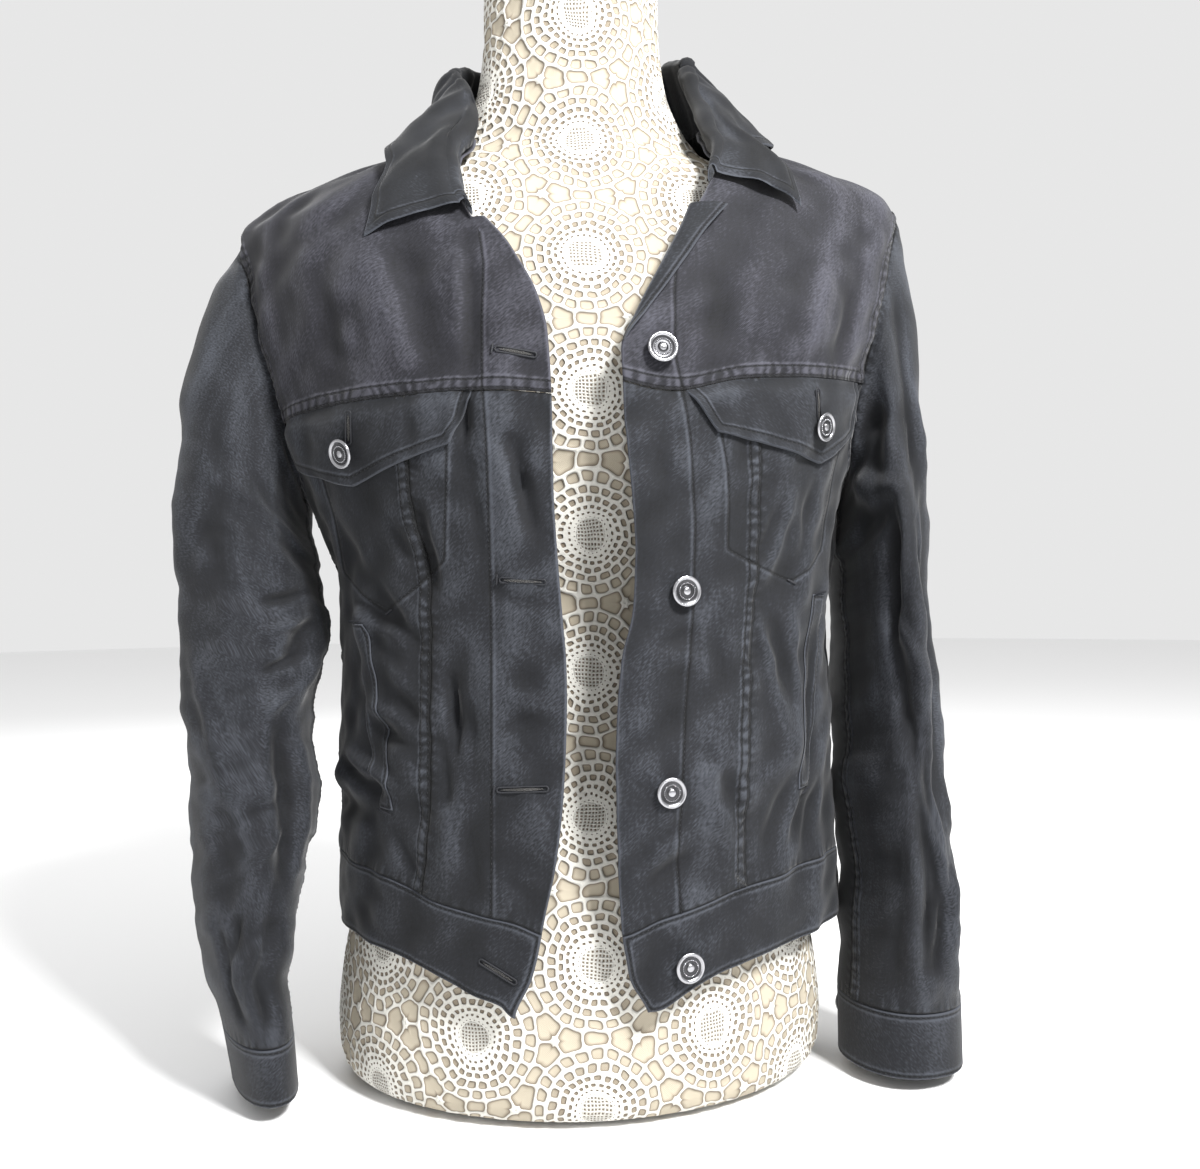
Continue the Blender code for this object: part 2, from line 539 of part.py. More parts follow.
def inward(turn, z):
    """Direction through the cloth to its inside. Near an armhole it leans to the sleeve's
    hollow, most of all under the arm, so that body and sleeve share their seam's direction."""
    direction = -body_normal(turn, z)
    for side in (RIGHT, LEFT):
        hole = ARMHOLE[side]
        away_turn = (turn - hole.turn + 0.5) % 1.0 - 0.5
        reach = np.where(away_turn * side < 0, hole.front_reach, hole.back_reach)
        middle = (hole.top + hole.bottom) / 2
        half = (hole.top - hole.bottom) / 2
        size = (np.abs(away_turn / reach) ** ARMHOLE_POWER
                + np.abs((z - middle) / half) ** ARMHOLE_POWER) ** (1 / ARMHOLE_POWER)
        near = np.clip(1 - (size - 1) / 0.2, 0, 1)
        low = np.clip((hole.top - z) / (hole.top - hole.bottom), 0, 1) ** 1.5
        to_middle = unit(ARMHOLE_MIDDLE[side] - body_base(turn, z))
        direction = direction + to_middle * (near * low)[..., None]
    return unit(direction)


def body_layer(turn, z, lift=0.0):
    """A place on the body with its folds, lifted off the cloth's outer face."""
    turn, z = np.broadcast_arrays(np.asarray(turn, float), np.asarray(z, float))
    height = fold_height(BODY_FOLDS, turn, z, BODY_GIRTH, 1.0) + lift
    return body_base(turn, z) + body_normal(turn, z) * height[..., None]


def front_turn(x, z):
    """Turn of the place on a front that lies this far from the middle."""
    half = np.where(np.asarray(x) < 0, BODY["wearer_right"](z), BODY["wearer_left"](z))
    share = np.clip(np.abs(x) / half, 0, 1) ** (BODY["front_power"](z) / 2)
    return np.sign(x) * np.arcsin(share) / (2 * math.pi)


def back_turn(x, z):
    """Turn of the place on the back that lies this far from the middle."""
    half = np.where(np.asarray(x) < 0, BODY["wearer_right"](z), BODY["wearer_left"](z))
    share = np.clip(np.abs(x) / half, 0, 1) ** (BODY["back_power"](z) / 2)
    return np.sign(x) * (0.5 - np.arcsin(share) / (2 * math.pi))


def neck_z(turn):
    """Height of the neckline at a turn from -0.5 to 0.5."""
    return np.where(turn < 0, NECK_Z[RIGHT](np.abs(turn)), NECK_Z[LEFT](np.abs(turn)))


def band_levels(turn):
    """Heights of the band's top and bottom at a turn from -0.5 to 0.5."""
    behind = np.clip((np.abs(turn) - 0.2) / 0.1, 0, 1)
    top = BAND_TOP_Z(turn) * (1 - behind) + BAND_BACK_TOP * behind
    bottom = BAND_BOTTOM_Z(turn) * (1 - behind) + BAND_BACK_BOTTOM * behind
    return top, bottom


def tube_base(side, around, along):
    """The sleeve's rings, before they are joined to the armhole."""
    ring = {name: curve(along) for name, curve in SLEEVE[side].items()}
    tilt, twist = np.radians(ring["tilt"]), np.radians(ring["twist"])
    angle = 2 * math.pi * around
    outer = signed_power(np.sin(angle), 2 / SLEEVE_POWER) * ring["across"]
    front = signed_power(np.cos(angle), 2 / SLEEVE_POWER) * ring["deep"]
    level = outer * np.cos(tilt)
    x = side * (ring["x"] + level * np.cos(twist) - front * np.sin(twist))
    y = ring["y"] - front * np.cos(twist) - level * np.sin(twist)
    z = ring["z"] + outer * np.sin(tilt)
    return np.stack(np.broadcast_arrays(x, y, z), axis=-1)


def sleeve_base(side, around, along):
    """The sleeve without its folds: it leaves the armhole and becomes the tube."""
    around, along = np.broadcast_arrays(np.asarray(around, float), np.asarray(along, float))
    turn, z = armhole_place(side, around)
    start = body_layer(turn, z)
    to_middle = unit(ARMHOLE_MIDDLE[side] - start)
    start = start + to_middle * ARMHOLE_GAP
    joined = np.clip(along / 0.17, 0, 1)
    joined = (joined * joined * (3 - 2 * joined))[..., None]
    return start * (1 - joined) + tube_base(side, around, along) * joined


def sleeve_normal(side, around, along):
    step_around, step_along = 0.004, 0.006
    round_it = (sleeve_base(side, around + step_around, along)
                - sleeve_base(side, around - step_around, along))
    down_it = (sleeve_base(side, around, np.clip(along + step_along, 0, 1))
               - sleeve_base(side, around, np.clip(along - step_along, 0, 1)))
    return unit(np.cross(down_it, round_it)) * side


def sleeve_layer(side, around, along, lift=0.0):
    around, along = np.broadcast_arrays(np.asarray(around, float), np.asarray(along, float))
    folds = fold_height(SLEEVE_FOLDS[side], around, along, SLEEVE_GIRTH, SLEEVE_LENGTH)
    calm = np.clip(along / 0.06, 0, 1) * np.clip((CUFF_STARTS - along) / 0.03, 0, 1)
    height = folds * calm + lift
    return sleeve_base(side, around, along) + sleeve_normal(side, around, along) * height[..., None]


# ---------------------------------------------------------------- making the objects
def make_material(name, colour, roughness, metallic=0.0):
    material = bpy.data.materials.new(name)
    material.use_nodes = True
    shader = material.node_tree.nodes["Principled BSDF"]
    shader.inputs["Base Color"].default_value = (*colour, 1)
    shader.inputs["Roughness"].default_value = roughness
    shader.inputs["Metallic"].default_value = metallic
    return material


def add_object(name, mesh, material, collection):
    mesh.shade_smooth()
    mesh.set_sharp_from_angle(angle=math.radians(50))
    mesh.materials.append(material)
    obj = bpy.data.objects.new(name, mesh)
    collection.objects.link(obj)
    return obj


def make_wall(name, outer, inner, material, collection):
    """A closed wall between two grids of points that match, rows by columns."""
    rows, cols = outer.shape[:2]
    bm = bmesh.new()
    sheets = []
    for points in (outer, inner):
        sheet = bmesh.ops.create_grid(bm, x_segments=cols - 1, y_segments=rows - 1, size=1)["verts"]
        for vertex, place in zip(sheet, points.reshape(-1, 3)):
            vertex.co = place
        sheets.append(sheet)
    rim = ([(0, c) for c in range(cols)] + [(r, cols - 1) for r in range(1, rows)]
           + [(rows - 1, c) for c in range(cols - 2, -1, -1)] + [(r, 0) for r in range(rows - 2, 0, -1)])
    for (row_a, col_a), (row_b, col_b) in zip(rim, rim[1:] + rim[:1]):
        a, b = row_a * cols + col_a, row_b * cols + col_b
        bm.faces.new((sheets[0][a], sheets[0][b], sheets[1][b], sheets[1][a]))
    bmesh.ops.recalc_face_normals(bm, faces=bm.faces)
    if bm.calc_volume(signed=True) < 0:
        bmesh.ops.reverse_faces(bm, faces=bm.faces)
    mesh = bpy.data.meshes.new(name)
    bm.to_mesh(mesh)
    bm.free()
    return add_object(name, mesh, material, collection)


def body_wall(name, turn, z, material, collection, thickness=CLOTH, lift=0.0):
    """Cloth on the body over a grid of places; lift is the height of its underside when laid
    on another piece, and 0 for a panel of the body itself."""
    outer = body_layer(turn, z, lift + thickness if lift else 0.0)
    return make_wall(name, outer, outer + inward(turn, z) * thickness, material, collection)


def blend_patch(low, high, start, end):
    """Places between four border lines, each an array of (turn, z): low and high run across,
    start and end run up their ends."""
    across = np.linspace(0, 1, len(low))[None, :, None]
    up = np.linspace(0, 1, len(start))[:, None, None]
    ruled_up = low[None] * (1 - up) + high[None] * up
    ruled_across = start[:, None] * (1 - across) + end[:, None] * across
    corners = (low[0] * (1 - across) * (1 - up) + low[-1] * across * (1 - up)
               + high[0] * (1 - across) * up + high[-1] * across * up)
    grid = ruled_up + ruled_across - corners
    return grid[..., 0], grid[..., 1]


def places(turn, z):
    turn, z = np.broadcast_arrays(np.asarray(turn, float), np.asarray(z, float))
    return np.stack([turn, z], axis=-1)


def armhole_run(side, start, end, steps):
    turn, z = armhole_place(side, np.linspace(start, end, steps + 1))
    return places(turn, z)


def yoke_crossing(side):
    """Place round the armhole where the front yoke's seam meets it."""
    around = np.linspace(-0.20, 0.10, 301)
    turn, z = armhole_place(side, around)
    return around[np.argmin(np.abs(z - YOKE_Z[side](np.abs(turn))))]


YOKE_MEETS_ARMHOLE = {side: yoke_crossing(side) for side in (RIGHT, LEFT)}


# ---------------------------------------------------------------- the panels of the body
def band_top(turn):
    return band_levels(turn)[0]


def yoke_level(side):
    return lambda turn: YOKE_Z[side](np.abs(turn))


def crossing(line, level):
    """Turn at which a long line of a front, given by x at each height, crosses a level."""
    z = level(0.0)
    for _ in range(6):
        turn = front_turn(line(z), z)
        z = level(turn)
    return float(turn)


def yoke_seam_turns(side):
    """Turns along the yoke's seam that the yoke shares with the panels under it."""
    level = yoke_level(side)
    edge, seam = crossing(EDGE_X[side], level), crossing(SEAM_X[side], level)
    end = float(armhole_place(side, YOKE_MEETS_ARMHOLE[side])[0])
    centre = np.linspace(edge, seam, CENTRE_STEPS + 1)
    return centre, np.linspace(seam, end, HEAD_STEPS + 1)


def hem_turns(side):
    """Turns along the band's seam that the band shares with the front's two panels."""
    edge, seam = crossing(EDGE_X[side], band_top), crossing(SEAM_X[side], band_top)
    steps = HEAD_STEPS + ARMHOLE_STEPS["front_side"]
    return np.linspace(edge, seam, CENTRE_STEPS + 1), np.linspace(seam, ARMHOLE[side].turn, steps + 1)


def back_hem_turns(side):
    """The same behind: the side panel's turns, then the seam's turn on this side."""
    seam = float(back_turn(side * BACK_SEAM_X(BAND_BACK_TOP), BAND_BACK_TOP))
    steps = HEAD_STEPS + ARMHOLE_STEPS["back_side"]
    return np.linspace(ARMHOLE[side].turn, seam, steps + 1)


def hang(side_line, other_line, top_line, low_turns, low_z):
    """A panel's grid of places: it hangs from its top line of (turn, z) down to a low line.
    The two lines down its sides give the turn at each height."""
    up = np.linspace(0, 1, PANEL_ROWS)[:, None]
    z = low_z * (1 - up) + top_line[None, :, 1] * up
    first, last = side_line(z), other_line(z)
    top_share = (top_line[:, 0] - first[-1]) / (last[-1] - first[-1])
    low_share = (low_turns - low_turns[0]) / (low_turns[-1] - low_turns[0])
    share = low_share * (1 - up) + top_share * up
    return first * (1 - share) + last * share, z


def make_front_centre(side, denim, collection):
    """From the front edge, with its folded facing, to the felled seam."""
    turns = yoke_seam_turns(side)[0]
    top = places(turns, yoke_level(side)(turns) - SEAM_GAP)
    top[-1, 0] -= side * SEAM_TURN / 2
    low = hem_turns(side)[0]
    turn, z = hang(lambda z: front_turn(EDGE_X[side](z), z),
                   lambda z: front_turn(SEAM_X[side](z), z) - side * SEAM_TURN / 2,
                   top, low, band_top(low) + SEAM_GAP)
    body_wall("front_centre_" + WORD[side], turn, z, denim, collection)


def make_front_side(side, denim, collection):
    """From the felled seam to the side seam, cut away under the armhole."""
    run = armhole_run(side, YOKE_MEETS_ARMHOLE[side], SIDE_MEETS_ARMHOLE - 1,
                      ARMHOLE_STEPS["front_side"])
    side_turn = ARMHOLE[side].turn - side * SEAM_TURN / 2
    turns = yoke_seam_turns(side)[1][:-1]
    head = places(turns, yoke_level(side)(turns) - SEAM_GAP)
    head[0, 0] += side * SEAM_TURN / 2
    run[0, 1] -= SEAM_GAP
    run[-1, 0] = side_turn
    low = hem_turns(side)[1]
    turn, z = hang(lambda z: front_turn(SEAM_X[side](z), z) + side * SEAM_TURN / 2,
                   lambda z: side_turn + 0.0 * z,
                   np.concatenate([head, run]), low, band_top(low) + SEAM_GAP)
    body_wall("front_side_" + WORD[side], turn, z, denim, collection)


def shoulder_line(side, behind):
    """Places along the shoulder seam, from the neckline to the armhole. Behind is 1 for the
    back yoke's edge and -1 for the front yoke's."""
    neck = np.array([side * SHOULDER_SEAM_TURN, NECK_Z[side](SHOULDER_SEAM_TURN)])
    arm = np.array(armhole_place(side, SHOULDER_MEETS_ARMHOLE))
    share = np.linspace(0, 1, CENTRE_STEPS + HEAD_STEPS + 1)[:, None]
    return neck * (1 - share) + arm * share + (behind * side * SHOULDER_TURN / 2, 0)


def make_front_yoke(side, denim, collection):
    """From the yoke's seam to the shoulder seam, with the armhole at its outer end."""
    steps = ARMHOLE_STEPS["front_yoke"]
    edge_steps = 4
    outer_end = armhole_run(side, YOKE_MEETS_ARMHOLE[side], SHOULDER_MEETS_ARMHOLE, steps)
    centre, head = yoke_seam_turns(side)
    low_turn = np.concatenate([centre, head[1:]])
    low = places(low_turn, yoke_level(side)(low_turn))
    edge_z = np.linspace(low[0, 1], NECKLINE[side][0].z, edge_steps + 1)
    edge = places(front_turn(EDGE_X[side](edge_z), edge_z), edge_z)
    neck_turn = np.linspace(abs(edge[-1, 0]), SHOULDER_SEAM_TURN, steps - edge_steps + 1)[1:]
    neck = places(side * neck_turn, NECK_Z[side](neck_turn))
    front_end = np.concatenate([edge, neck])
    high = shoulder_line(side, -1)
    front_end[-1], outer_end[-1] = high[0], high[-1]
    turn, z = blend_patch(low, high, front_end, outer_end)
    body_wall("front_yoke_" + WORD[side], turn, z, denim, collection)


def back_yoke_crossing(side):
    """Place round the armhole where the back yoke's seam meets it."""
    around = np.linspace(0.40, 0.60, 401)
    return around[np.argmin(np.abs(armhole_place(side, around)[1] - BACK_YOKE_SEAM))]


def back_head_turns(side):
    """Turns along the back yoke's seam over the side panel, from the armhole inwards."""
    end = float(armhole_place(side, back_yoke_crossing(side))[0])
    seam = float(back_turn(side * BACK_SEAM_X(BACK_YOKE_SEAM), BACK_YOKE_SEAM))
    return np.linspace(end, seam, HEAD_STEPS + 1)


def make_back_side(side, denim, collection):
    """From the side seam to the long seam of the back, cut away under the armhole."""
    run = armhole_run(side, SIDE_MEETS_ARMHOLE, back_yoke_crossing(side), ARMHOLE_STEPS["back_side"])
    side_turn = ARMHOLE[side].turn + side * SEAM_TURN / 2
    run[0, 0] = side_turn
    run[-1, 1] = BACK_YOKE_SEAM - SEAM_GAP
    head = places(back_head_turns(side)[1:], BACK_YOKE_SEAM - SEAM_GAP)
    head[-1, 0] -= side * SEAM_TURN / 2
    low = back_hem_turns(side)
    turn, z = hang(lambda z: side_turn + 0.0 * z,
                   lambda z: back_turn(side * BACK_SEAM_X(z), z) - side * SEAM_TURN / 2,
                   np.concatenate([run, head]), low, band_top(low) + SEAM_GAP)
    body_wall("back_side_" + WORD[side], turn, z, denim, collection)


def make_back_centre(denim, collection):
    up = np.linspace(0, 1, PANEL_ROWS)[:, None]
    across = np.linspace(0, 1, BACK_STEPS + 1)[None]
    low_z = BAND_BACK_TOP + SEAM_GAP
    z = low_z + (BACK_YOKE_SEAM - SEAM_GAP - low_z) * up
    left_line = back_turn(BACK_SEAM_X(z), z) + SEAM_TURN / 2
    right_line = back_turn(-BACK_SEAM_X(z), z) + 1 - SEAM_TURN / 2
    turn = left_line * (1 - across) + right_line * across
    body_wall("back_centre", turn, z + 0.0 * turn, denim, collection)


def make_back_yoke(denim, collection):
    """Over both shoulders, from the back yoke's seam to the neckline and the shoulder seams."""
    ends = []
    for side in (LEFT, RIGHT):
        end = armhole_run(side, back_yoke_crossing(side), SHOULDER_MEETS_ARMHOLE,
                          ARMHOLE_STEPS["back_yoke"])
        end[0, 1] = BACK_YOKE_SEAM
        end[-1] = shoulder_line(side, 1)[-1]
        end[:, 0] += 1 if side == RIGHT else 0
        ends.append(end)
    left_head, right_head = back_head_turns(LEFT), back_head_turns(RIGHT)[::-1] + 1
    middle = np.linspace(left_head[-1], right_head[0], BACK_STEPS + 1)
    low_turn = np.concatenate([left_head, middle[1:-1], right_head])
    left_shoulder = shoulder_line(LEFT, 1)[::-1]
    right_shoulder = shoulder_line(RIGHT, 1) + (1, 0)
    between = len(low_turn) - len(left_shoulder) - len(right_shoulder)
    neck_turn = np.linspace(SHOULDER_SEAM_TURN, 1 - SHOULDER_SEAM_TURN, between + 2)[1:-1]
    neck = places(neck_turn, neck_z((neck_turn + 0.5) % 1.0 - 0.5))
    high = np.concatenate([left_shoulder, neck, right_shoulder])
    turn, z = blend_patch(places(low_turn, BACK_YOKE_SEAM), high, ends[0], ends[1])
    body_wall("back_yoke", turn, z, denim, collection)


def make_waistband(denim, collection):
    """One doubled band round the hem, from front edge to front edge."""
    left_front, right_front = hem_turns(LEFT), hem_turns(RIGHT)
    left_back, right_back = back_hem_turns(LEFT), back_hem_turns(RIGHT)[::-1] + 1
    middle = np.linspace(left_back[-1], right_back[0], BACK_STEPS + 1)
    top_turn = np.concatenate([left_front[0], left_front[1][1:], left_back[1:], middle[1:-1],
                               right_back, right_front[1][::-1][1:] + 1,
                               right_front[0][::-1][1:] + 1])
    down = np.linspace(0, 1, 4)[:, None]
    top, bottom = band_levels((top_turn + 0.5) % 1.0 - 0.5)
    z = top * (1 - down) + bottom * down
    near_left = np.clip(1 - (top_turn - top_turn[0]) / 0.08, 0, 1)
    near_right = np.clip(1 - (top_turn[-1] - top_turn) / 0.08, 0, 1)
    left_edge, right_edge = front_turn(EDGE_X[LEFT](z), z), front_turn(EDGE_X[RIGHT](z), z) + 1
    turn = (top_turn + (left_edge - top_turn[0]) * near_left
            + (right_edge - top_turn[-1]) * near_right)
    body_wall("waistband", turn, z, denim, collection, thickness=DOUBLE_CLOTH)


# ---------------------------------------------------------------- sleeves and cuffs
def sleeve_wall(name, side, around, along, material, collection, thickness=CLOTH, lift=0.0):
    outer = sleeve_layer(side, around, along, lift)
    through = -sleeve_normal(side, around, along)
    turn, z = armhole_place(side, around)
    at_seam = np.clip(1 - along / 0.04, 0, 1)[..., None]
    through = unit(through * (1 - at_seam) + inward(turn, z) * at_seam)
    return make_wall(name, outer, outer + through * thickness, material, collection)


def armhole_samples(side):
    """Places round the armhole that the body's panels and the sleeve share."""
    stops = [
        (SIDE_MEETS_ARMHOLE - 1, YOKE_MEETS_ARMHOLE[side], ARMHOLE_STEPS["front_side"]),
        (YOKE_MEETS_ARMHOLE[side], SHOULDER_MEETS_ARMHOLE, ARMHOLE_STEPS["front_yoke"]),
        (SHOULDER_MEETS_ARMHOLE, back_yoke_crossing(side), ARMHOLE_STEPS["back_yoke"]),
        (back_yoke_crossing(side), SIDE_MEETS_ARMHOLE, ARMHOLE_STEPS["back_side"]),
    ]
    runs = [np.linspace(start, end, steps + 1)[:-1] for start, end, steps in stops]
    return np.concatenate(runs + [[SIDE_MEETS_ARMHOLE]])


def make_sleeve(side, denim, collection):
    """The upper sleeve goes round the front and the top; the under sleeve closes it behind."""
    around = armhole_samples(side)
    seam = int(np.argmin(np.abs(around - SLEEVE_BACK_SEAM)))
    along = (np.linspace(0, 1, SLEEVE_ROWS) ** 1.12 * (CUFF_STARTS - 0.0006))[:, None]
    gap = SEAM_GAP / SLEEVE_GIRTH
    upper, under = around[:seam + 1].copy(), around[seam:].copy()
    upper[0] += gap
    upper[-1] -= gap
    under[0] += gap
    under[-1] -= gap
    for name, part in (("sleeve_upper_", upper), ("sleeve_under_", under)):
        grid_around, grid_along = np.broadcast_arrays(part[None, :], along)
        sleeve_wall(name + WORD[side], side, grid_around, grid_along, denim, collection)


def make_cuff(side, denim, collection):
    """A doubled band whose end laps over its start at the back, under the button."""
    share = np.linspace(0, 1, 27)
    around = CUFF_LAP_AROUND - CUFF_LAP_SHARE / 2 + share * (1 + CUFF_LAP_SHARE)
    over = np.clip((share * (1 + CUFF_LAP_SHARE) - 0.93) / 0.06, 0, 1)
    lift = over * over * (3 - 2 * over) * (DOUBLE_CLOTH + LAY_GAP)
    along = np.linspace(CUFF_STARTS + 0.0006, 1.0, 4)[:, None]
    grid_around, grid_along = np.broadcast_arrays(around[None, :], along)
    sleeve_wall("cuff_" + WORD[side], side, grid_around, grid_along, denim, collection,
                thickness=DOUBLE_CLOTH, lift=lift[None, :])


# ---------------------------------------------------------------- collar, flaps and welts
def collar_middle(around, across):
    """A place in the middle of the collar's cloth: across runs from the neck seam (0) up the
    stand, over the roll and down to the free edge (1)."""
    line = {name: curve(around) for name, curve in COLLAR_LINES.items()}
    turn = -around
    seam_z = neck_z((turn + 0.5) % 1.0 - 0.5)
    seam = body_base(turn, seam_z)
    normal = body_normal(turn, seam_z)
    seam = seam + normal * (LAY_GAP + DOUBLE_CLOTH / 2)
    flat = normal * (1, 1, 0)
    outward = unit(flat)
    top = seam + (0, 0, 1) * line["roll_up"][..., None] - outward * line["roll_in"][..., None]
    edge = body_layer(-line["edge_around"], line["edge_z"], 0.0)
    edge = edge + body_normal(-line["edge_around"], line["edge_z"]) * line["edge_lift"][..., None]
    over = unit((edge - top) * (1, 1, 0))
    start_fall = top + over * 2 * COLLAR_ROLL_RADIUS
    stand, roll = COLLAR_STAND_SHARE, COLLAR_ROLL_SHARE
    up = np.clip(across / stand, 0, 1)[..., None]
    angle = np.clip((across - stand) / (roll - stand), 0, 1)[..., None] * math.pi
    down = np.clip((across - roll) / (1 - roll), 0, 1)[..., None]
    on_stand = seam + (top - seam) * up
    on_roll = (top + over * COLLAR_ROLL_RADIUS * (1 - np.cos(angle))
               + np.array((0, 0, 1)) * COLLAR_ROLL_RADIUS * np.sin(angle))
    bow = np.sin(down * math.pi) * COLLAR_BOW
    on_fall = start_fall * (1 - down) + edge * down + (over * 0.6 + (0, 0, 0.8)) * bow
    here = np.where((across <= stand)[..., None], on_stand, on_roll)
    return np.where((across > roll)[..., None], on_fall, here)


def make_collar(denim, collection):
    around = np.linspace(COLLAR[0].around, COLLAR[-1].around, COLLAR_STEPS + 1)[None, :]
    across = np.array(COLLAR_ACROSS)[:, None]
    around, across = np.broadcast_arrays(around, across)
    middle = collar_middle(around, across)
    round_it = np.gradient(middle, axis=1)
    across_it = np.gradient(middle, axis=0)
    normal = unit(np.cross(across_it, round_it))
    half = DOUBLE_CLOTH / 2
    make_wall("collar", middle + normal * half, middle - normal * half, denim, collection)


def make_lapel(denim, collection):
    """The strip of the left front that lies folded back over the yoke below the collar."""
    rows = columns(LAPEL, "z")
    z = np.linspace(LAPEL[0].z, LAPEL[-1].z, 9)[:, None]
    out = np.linspace(0, 1, 11)[None, :]
    fold_x = EDGE_X[LEFT](z)
    x = fold_x + rows["spread"](z) * out
    turn = front_turn(x, z * np.ones_like(x))
    lift = LAY_GAP + LAPEL_LIFT * np.sin(out * math.pi / 2) * np.ones_like(x)
    z = z * np.ones_like(x)
    outer = body_layer(turn, z, lift + CLOTH)
    make_wall("lapel_left", outer, body_layer(turn, z, lift), denim, collection)


def make_flap(side, denim, collection):
    """A pointed pocket flap, sewn into the yoke's seam."""
    flap = FLAPS[side]
    out = np.linspace(0, 1, 11)[None, :]
    down = np.linspace(0, 1, 6)[:, None]
    point = (flap.point - flap.low_inner) / (flap.low_outer - flap.low_inner)
    low_z = np.where(out < point,
                     flap.low_z_in + (flap.point_z - flap.low_z_in) * out / point,
                     flap.low_z_out + (flap.point_z - flap.low_z_out) * (1 - out) / (1 - point))
    top_turn = flap.top_inner * (1 - out) + flap.top_outer * out
    low_turn = flap.low_inner * (1 - out) + flap.low_outer * out
    turn = top_turn * (1 - down) + low_turn * down
    z = (yoke_level(side)(top_turn) - SEAM_GAP) * (1 - down) + low_z * down
    outer = body_layer(turn, z, LAY_GAP + DOUBLE_CLOTH)
    make_wall("pocket_flap_" + WORD[side], outer, body_layer(turn, z, LAY_GAP), denim, collection)


def make_welt(side, denim, collection):
    """The slanted welt of a hand pocket."""
    welt = WELTS[side]
    down = np.linspace(0, 1, 9)[:, None]
    across = np.linspace(-0.5, 0.5, 3)[None, :] * WELT_WIDTH
    x = welt.top_x * (1 - down) + welt.low_x * down + side * across * 1.15
    z = welt.top_z * (1 - down) + welt.low_z * down + 0.0 * across
    turn = front_turn(x, z)
    outer = body_layer(turn, z, LAY_GAP + CLOTH)
    make_wall("side_welt_" + WORD[side], outer, body_layer(turn, z, LAY_GAP), denim, collection)


# ---------------------------------------------------------------- buttons and the dress form
def make_button(name, place, direction, metal, collection):
    """A turned shank button that sits on its cloth and faces along the direction."""
    bm = bmesh.new()
    line = [bm.verts.new((radius * BUTTON_RADIUS, 0, height * BUTTON_HEIGHT))
            for radius, height in BUTTON_PROFILE]
    for a, b in zip(line, line[1:]):
        bm.edges.new((a, b))
    mesh = bpy.data.meshes.new(name)
    bm.to_mesh(mesh)
    bm.free()
    obj = bpy.data.objects.new(name, mesh)
    collection.objects.link(obj)
    mesh.materials.append(metal)
    screw = obj.modifiers.new("turned", "SCREW")
    screw.steps = screw.render_steps = BUTTON_STEPS
    screw.use_merge_vertices = True
    screw.merge_threshold = 0.00005
    screw.use_smooth_shade = True
    obj.location = place
    obj.rotation_euler = Vector(direction).to_track_quat("Z", "Y").to_euler()
    return obj


def make_buttons(metal, collection):
    for spot in FRONT_BUTTONS:
        turn = front_turn(spot.x, spot.z)
        place = body_layer(turn, spot.z, LAY_GAP)
        make_button(spot.name, place, body_normal(turn, spot.z), metal, collection)
    for side, spot in FLAP_BUTTONS.items():
        turn = front_turn(spot.x, spot.z)
        place = body_layer(turn, spot.z, 2 * LAY_GAP + DOUBLE_CLOTH)
        make_button(spot.name, place, body_normal(turn, spot.z), metal, collection)
    for side in (RIGHT, LEFT):
        around, along = np.array(CUFF_LAP_AROUND), np.array((CUFF_STARTS + 1) / 2)
        place = sleeve_layer(side, around, along, DOUBLE_CLOTH + 2 * LAY_GAP)
        direction = sleeve_normal(side, around, along)
        make_button("button_cuff_" + WORD[side], place, direction, metal, collection)


def make_dress_form(cover, collection):
    """One smooth limbless torso with a flat base and a plain capped neck."""
    rows = np.array([row.z for row in FORM])[:, None]
    angle = np.linspace(0, 2 * math.pi, FORM_STEPS + 1)[None, :]
    depth = np.where(np.cos(angle) > 0, DRESS_FORM["front"](rows), DRESS_FORM["back"](rows))
    power = 2 / DRESS_FORM["power"](rows)
    x = DRESS_FORM["half"](rows) * signed_power(np.sin(angle), power)
    y = -depth * signed_power(np.cos(angle), power)
    bm = bmesh.new()
    sheet = bmesh.ops.create_grid(bm, x_segments=FORM_STEPS, y_segments=len(FORM) - 1, size=1)["verts"]
    for vertex, place in zip(sheet, np.stack([x, y, rows + 0.0 * x], axis=-1).reshape(-1, 3)):
        vertex.co = place
    bmesh.ops.remove_doubles(bm, verts=bm.verts, dist=0.00001)
    bmesh.ops.holes_fill(bm, edges=[edge for edge in bm.edges if edge.is_boundary], sides=0)
    bmesh.ops.recalc_face_normals(bm, faces=bm.faces)
    mesh = bpy.data.meshes.new("dress_form")
    bm.to_mesh(mesh)
    bm.free()
    add_object("dress_form", mesh, cover, collection)


def main():
    for obj in list(bpy.data.objects):
        bpy.data.objects.remove(obj, do_unlink=True)
    collection = bpy.data.collections.new("denim_jacket")
    bpy.context.scene.collection.children.link(collection)
    denim = make_material("washed_black_denim", (0.035, 0.038, 0.047), 0.85)
    metal = make_material("bright_metal", (0.62, 0.62, 0.64), 0.25, metallic=1.0)
    cover = make_material("cream_lace_cover", (0.72, 0.66, 0.56), 0.9)
    make_dress_form(cover, collection)
    for side in (RIGHT, LEFT):
        make_front_centre(side, denim, collection)
        make_front_side(side, denim, collection)
        make_front_yoke(side, denim, collection)
        make_back_side(side, denim, collection)
        make_sleeve(side, denim, collection)
        make_cuff(side, denim, collection)
        make_flap(side, denim, collection)
        make_welt(side, denim, collection)
    make_back_centre(denim, collection)
    make_back_yoke(denim, collection)
    make_waistband(denim, collection)
    make_collar(denim, collection)
    make_lapel(denim, collection)
    make_buttons(metal, collection)


main()
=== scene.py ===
# %% [markdown]
# # A worn denim jacket on a dress form
#
# The jacket hangs open on a limbless form covered with medallion lace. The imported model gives
# the solids; this script dresses them. Every cloth piece is laid again on the same surface as
# its solid, but with a mesh fine enough for creases, felled seams and puckers, and each seam
# then gets its real rows of stitches.

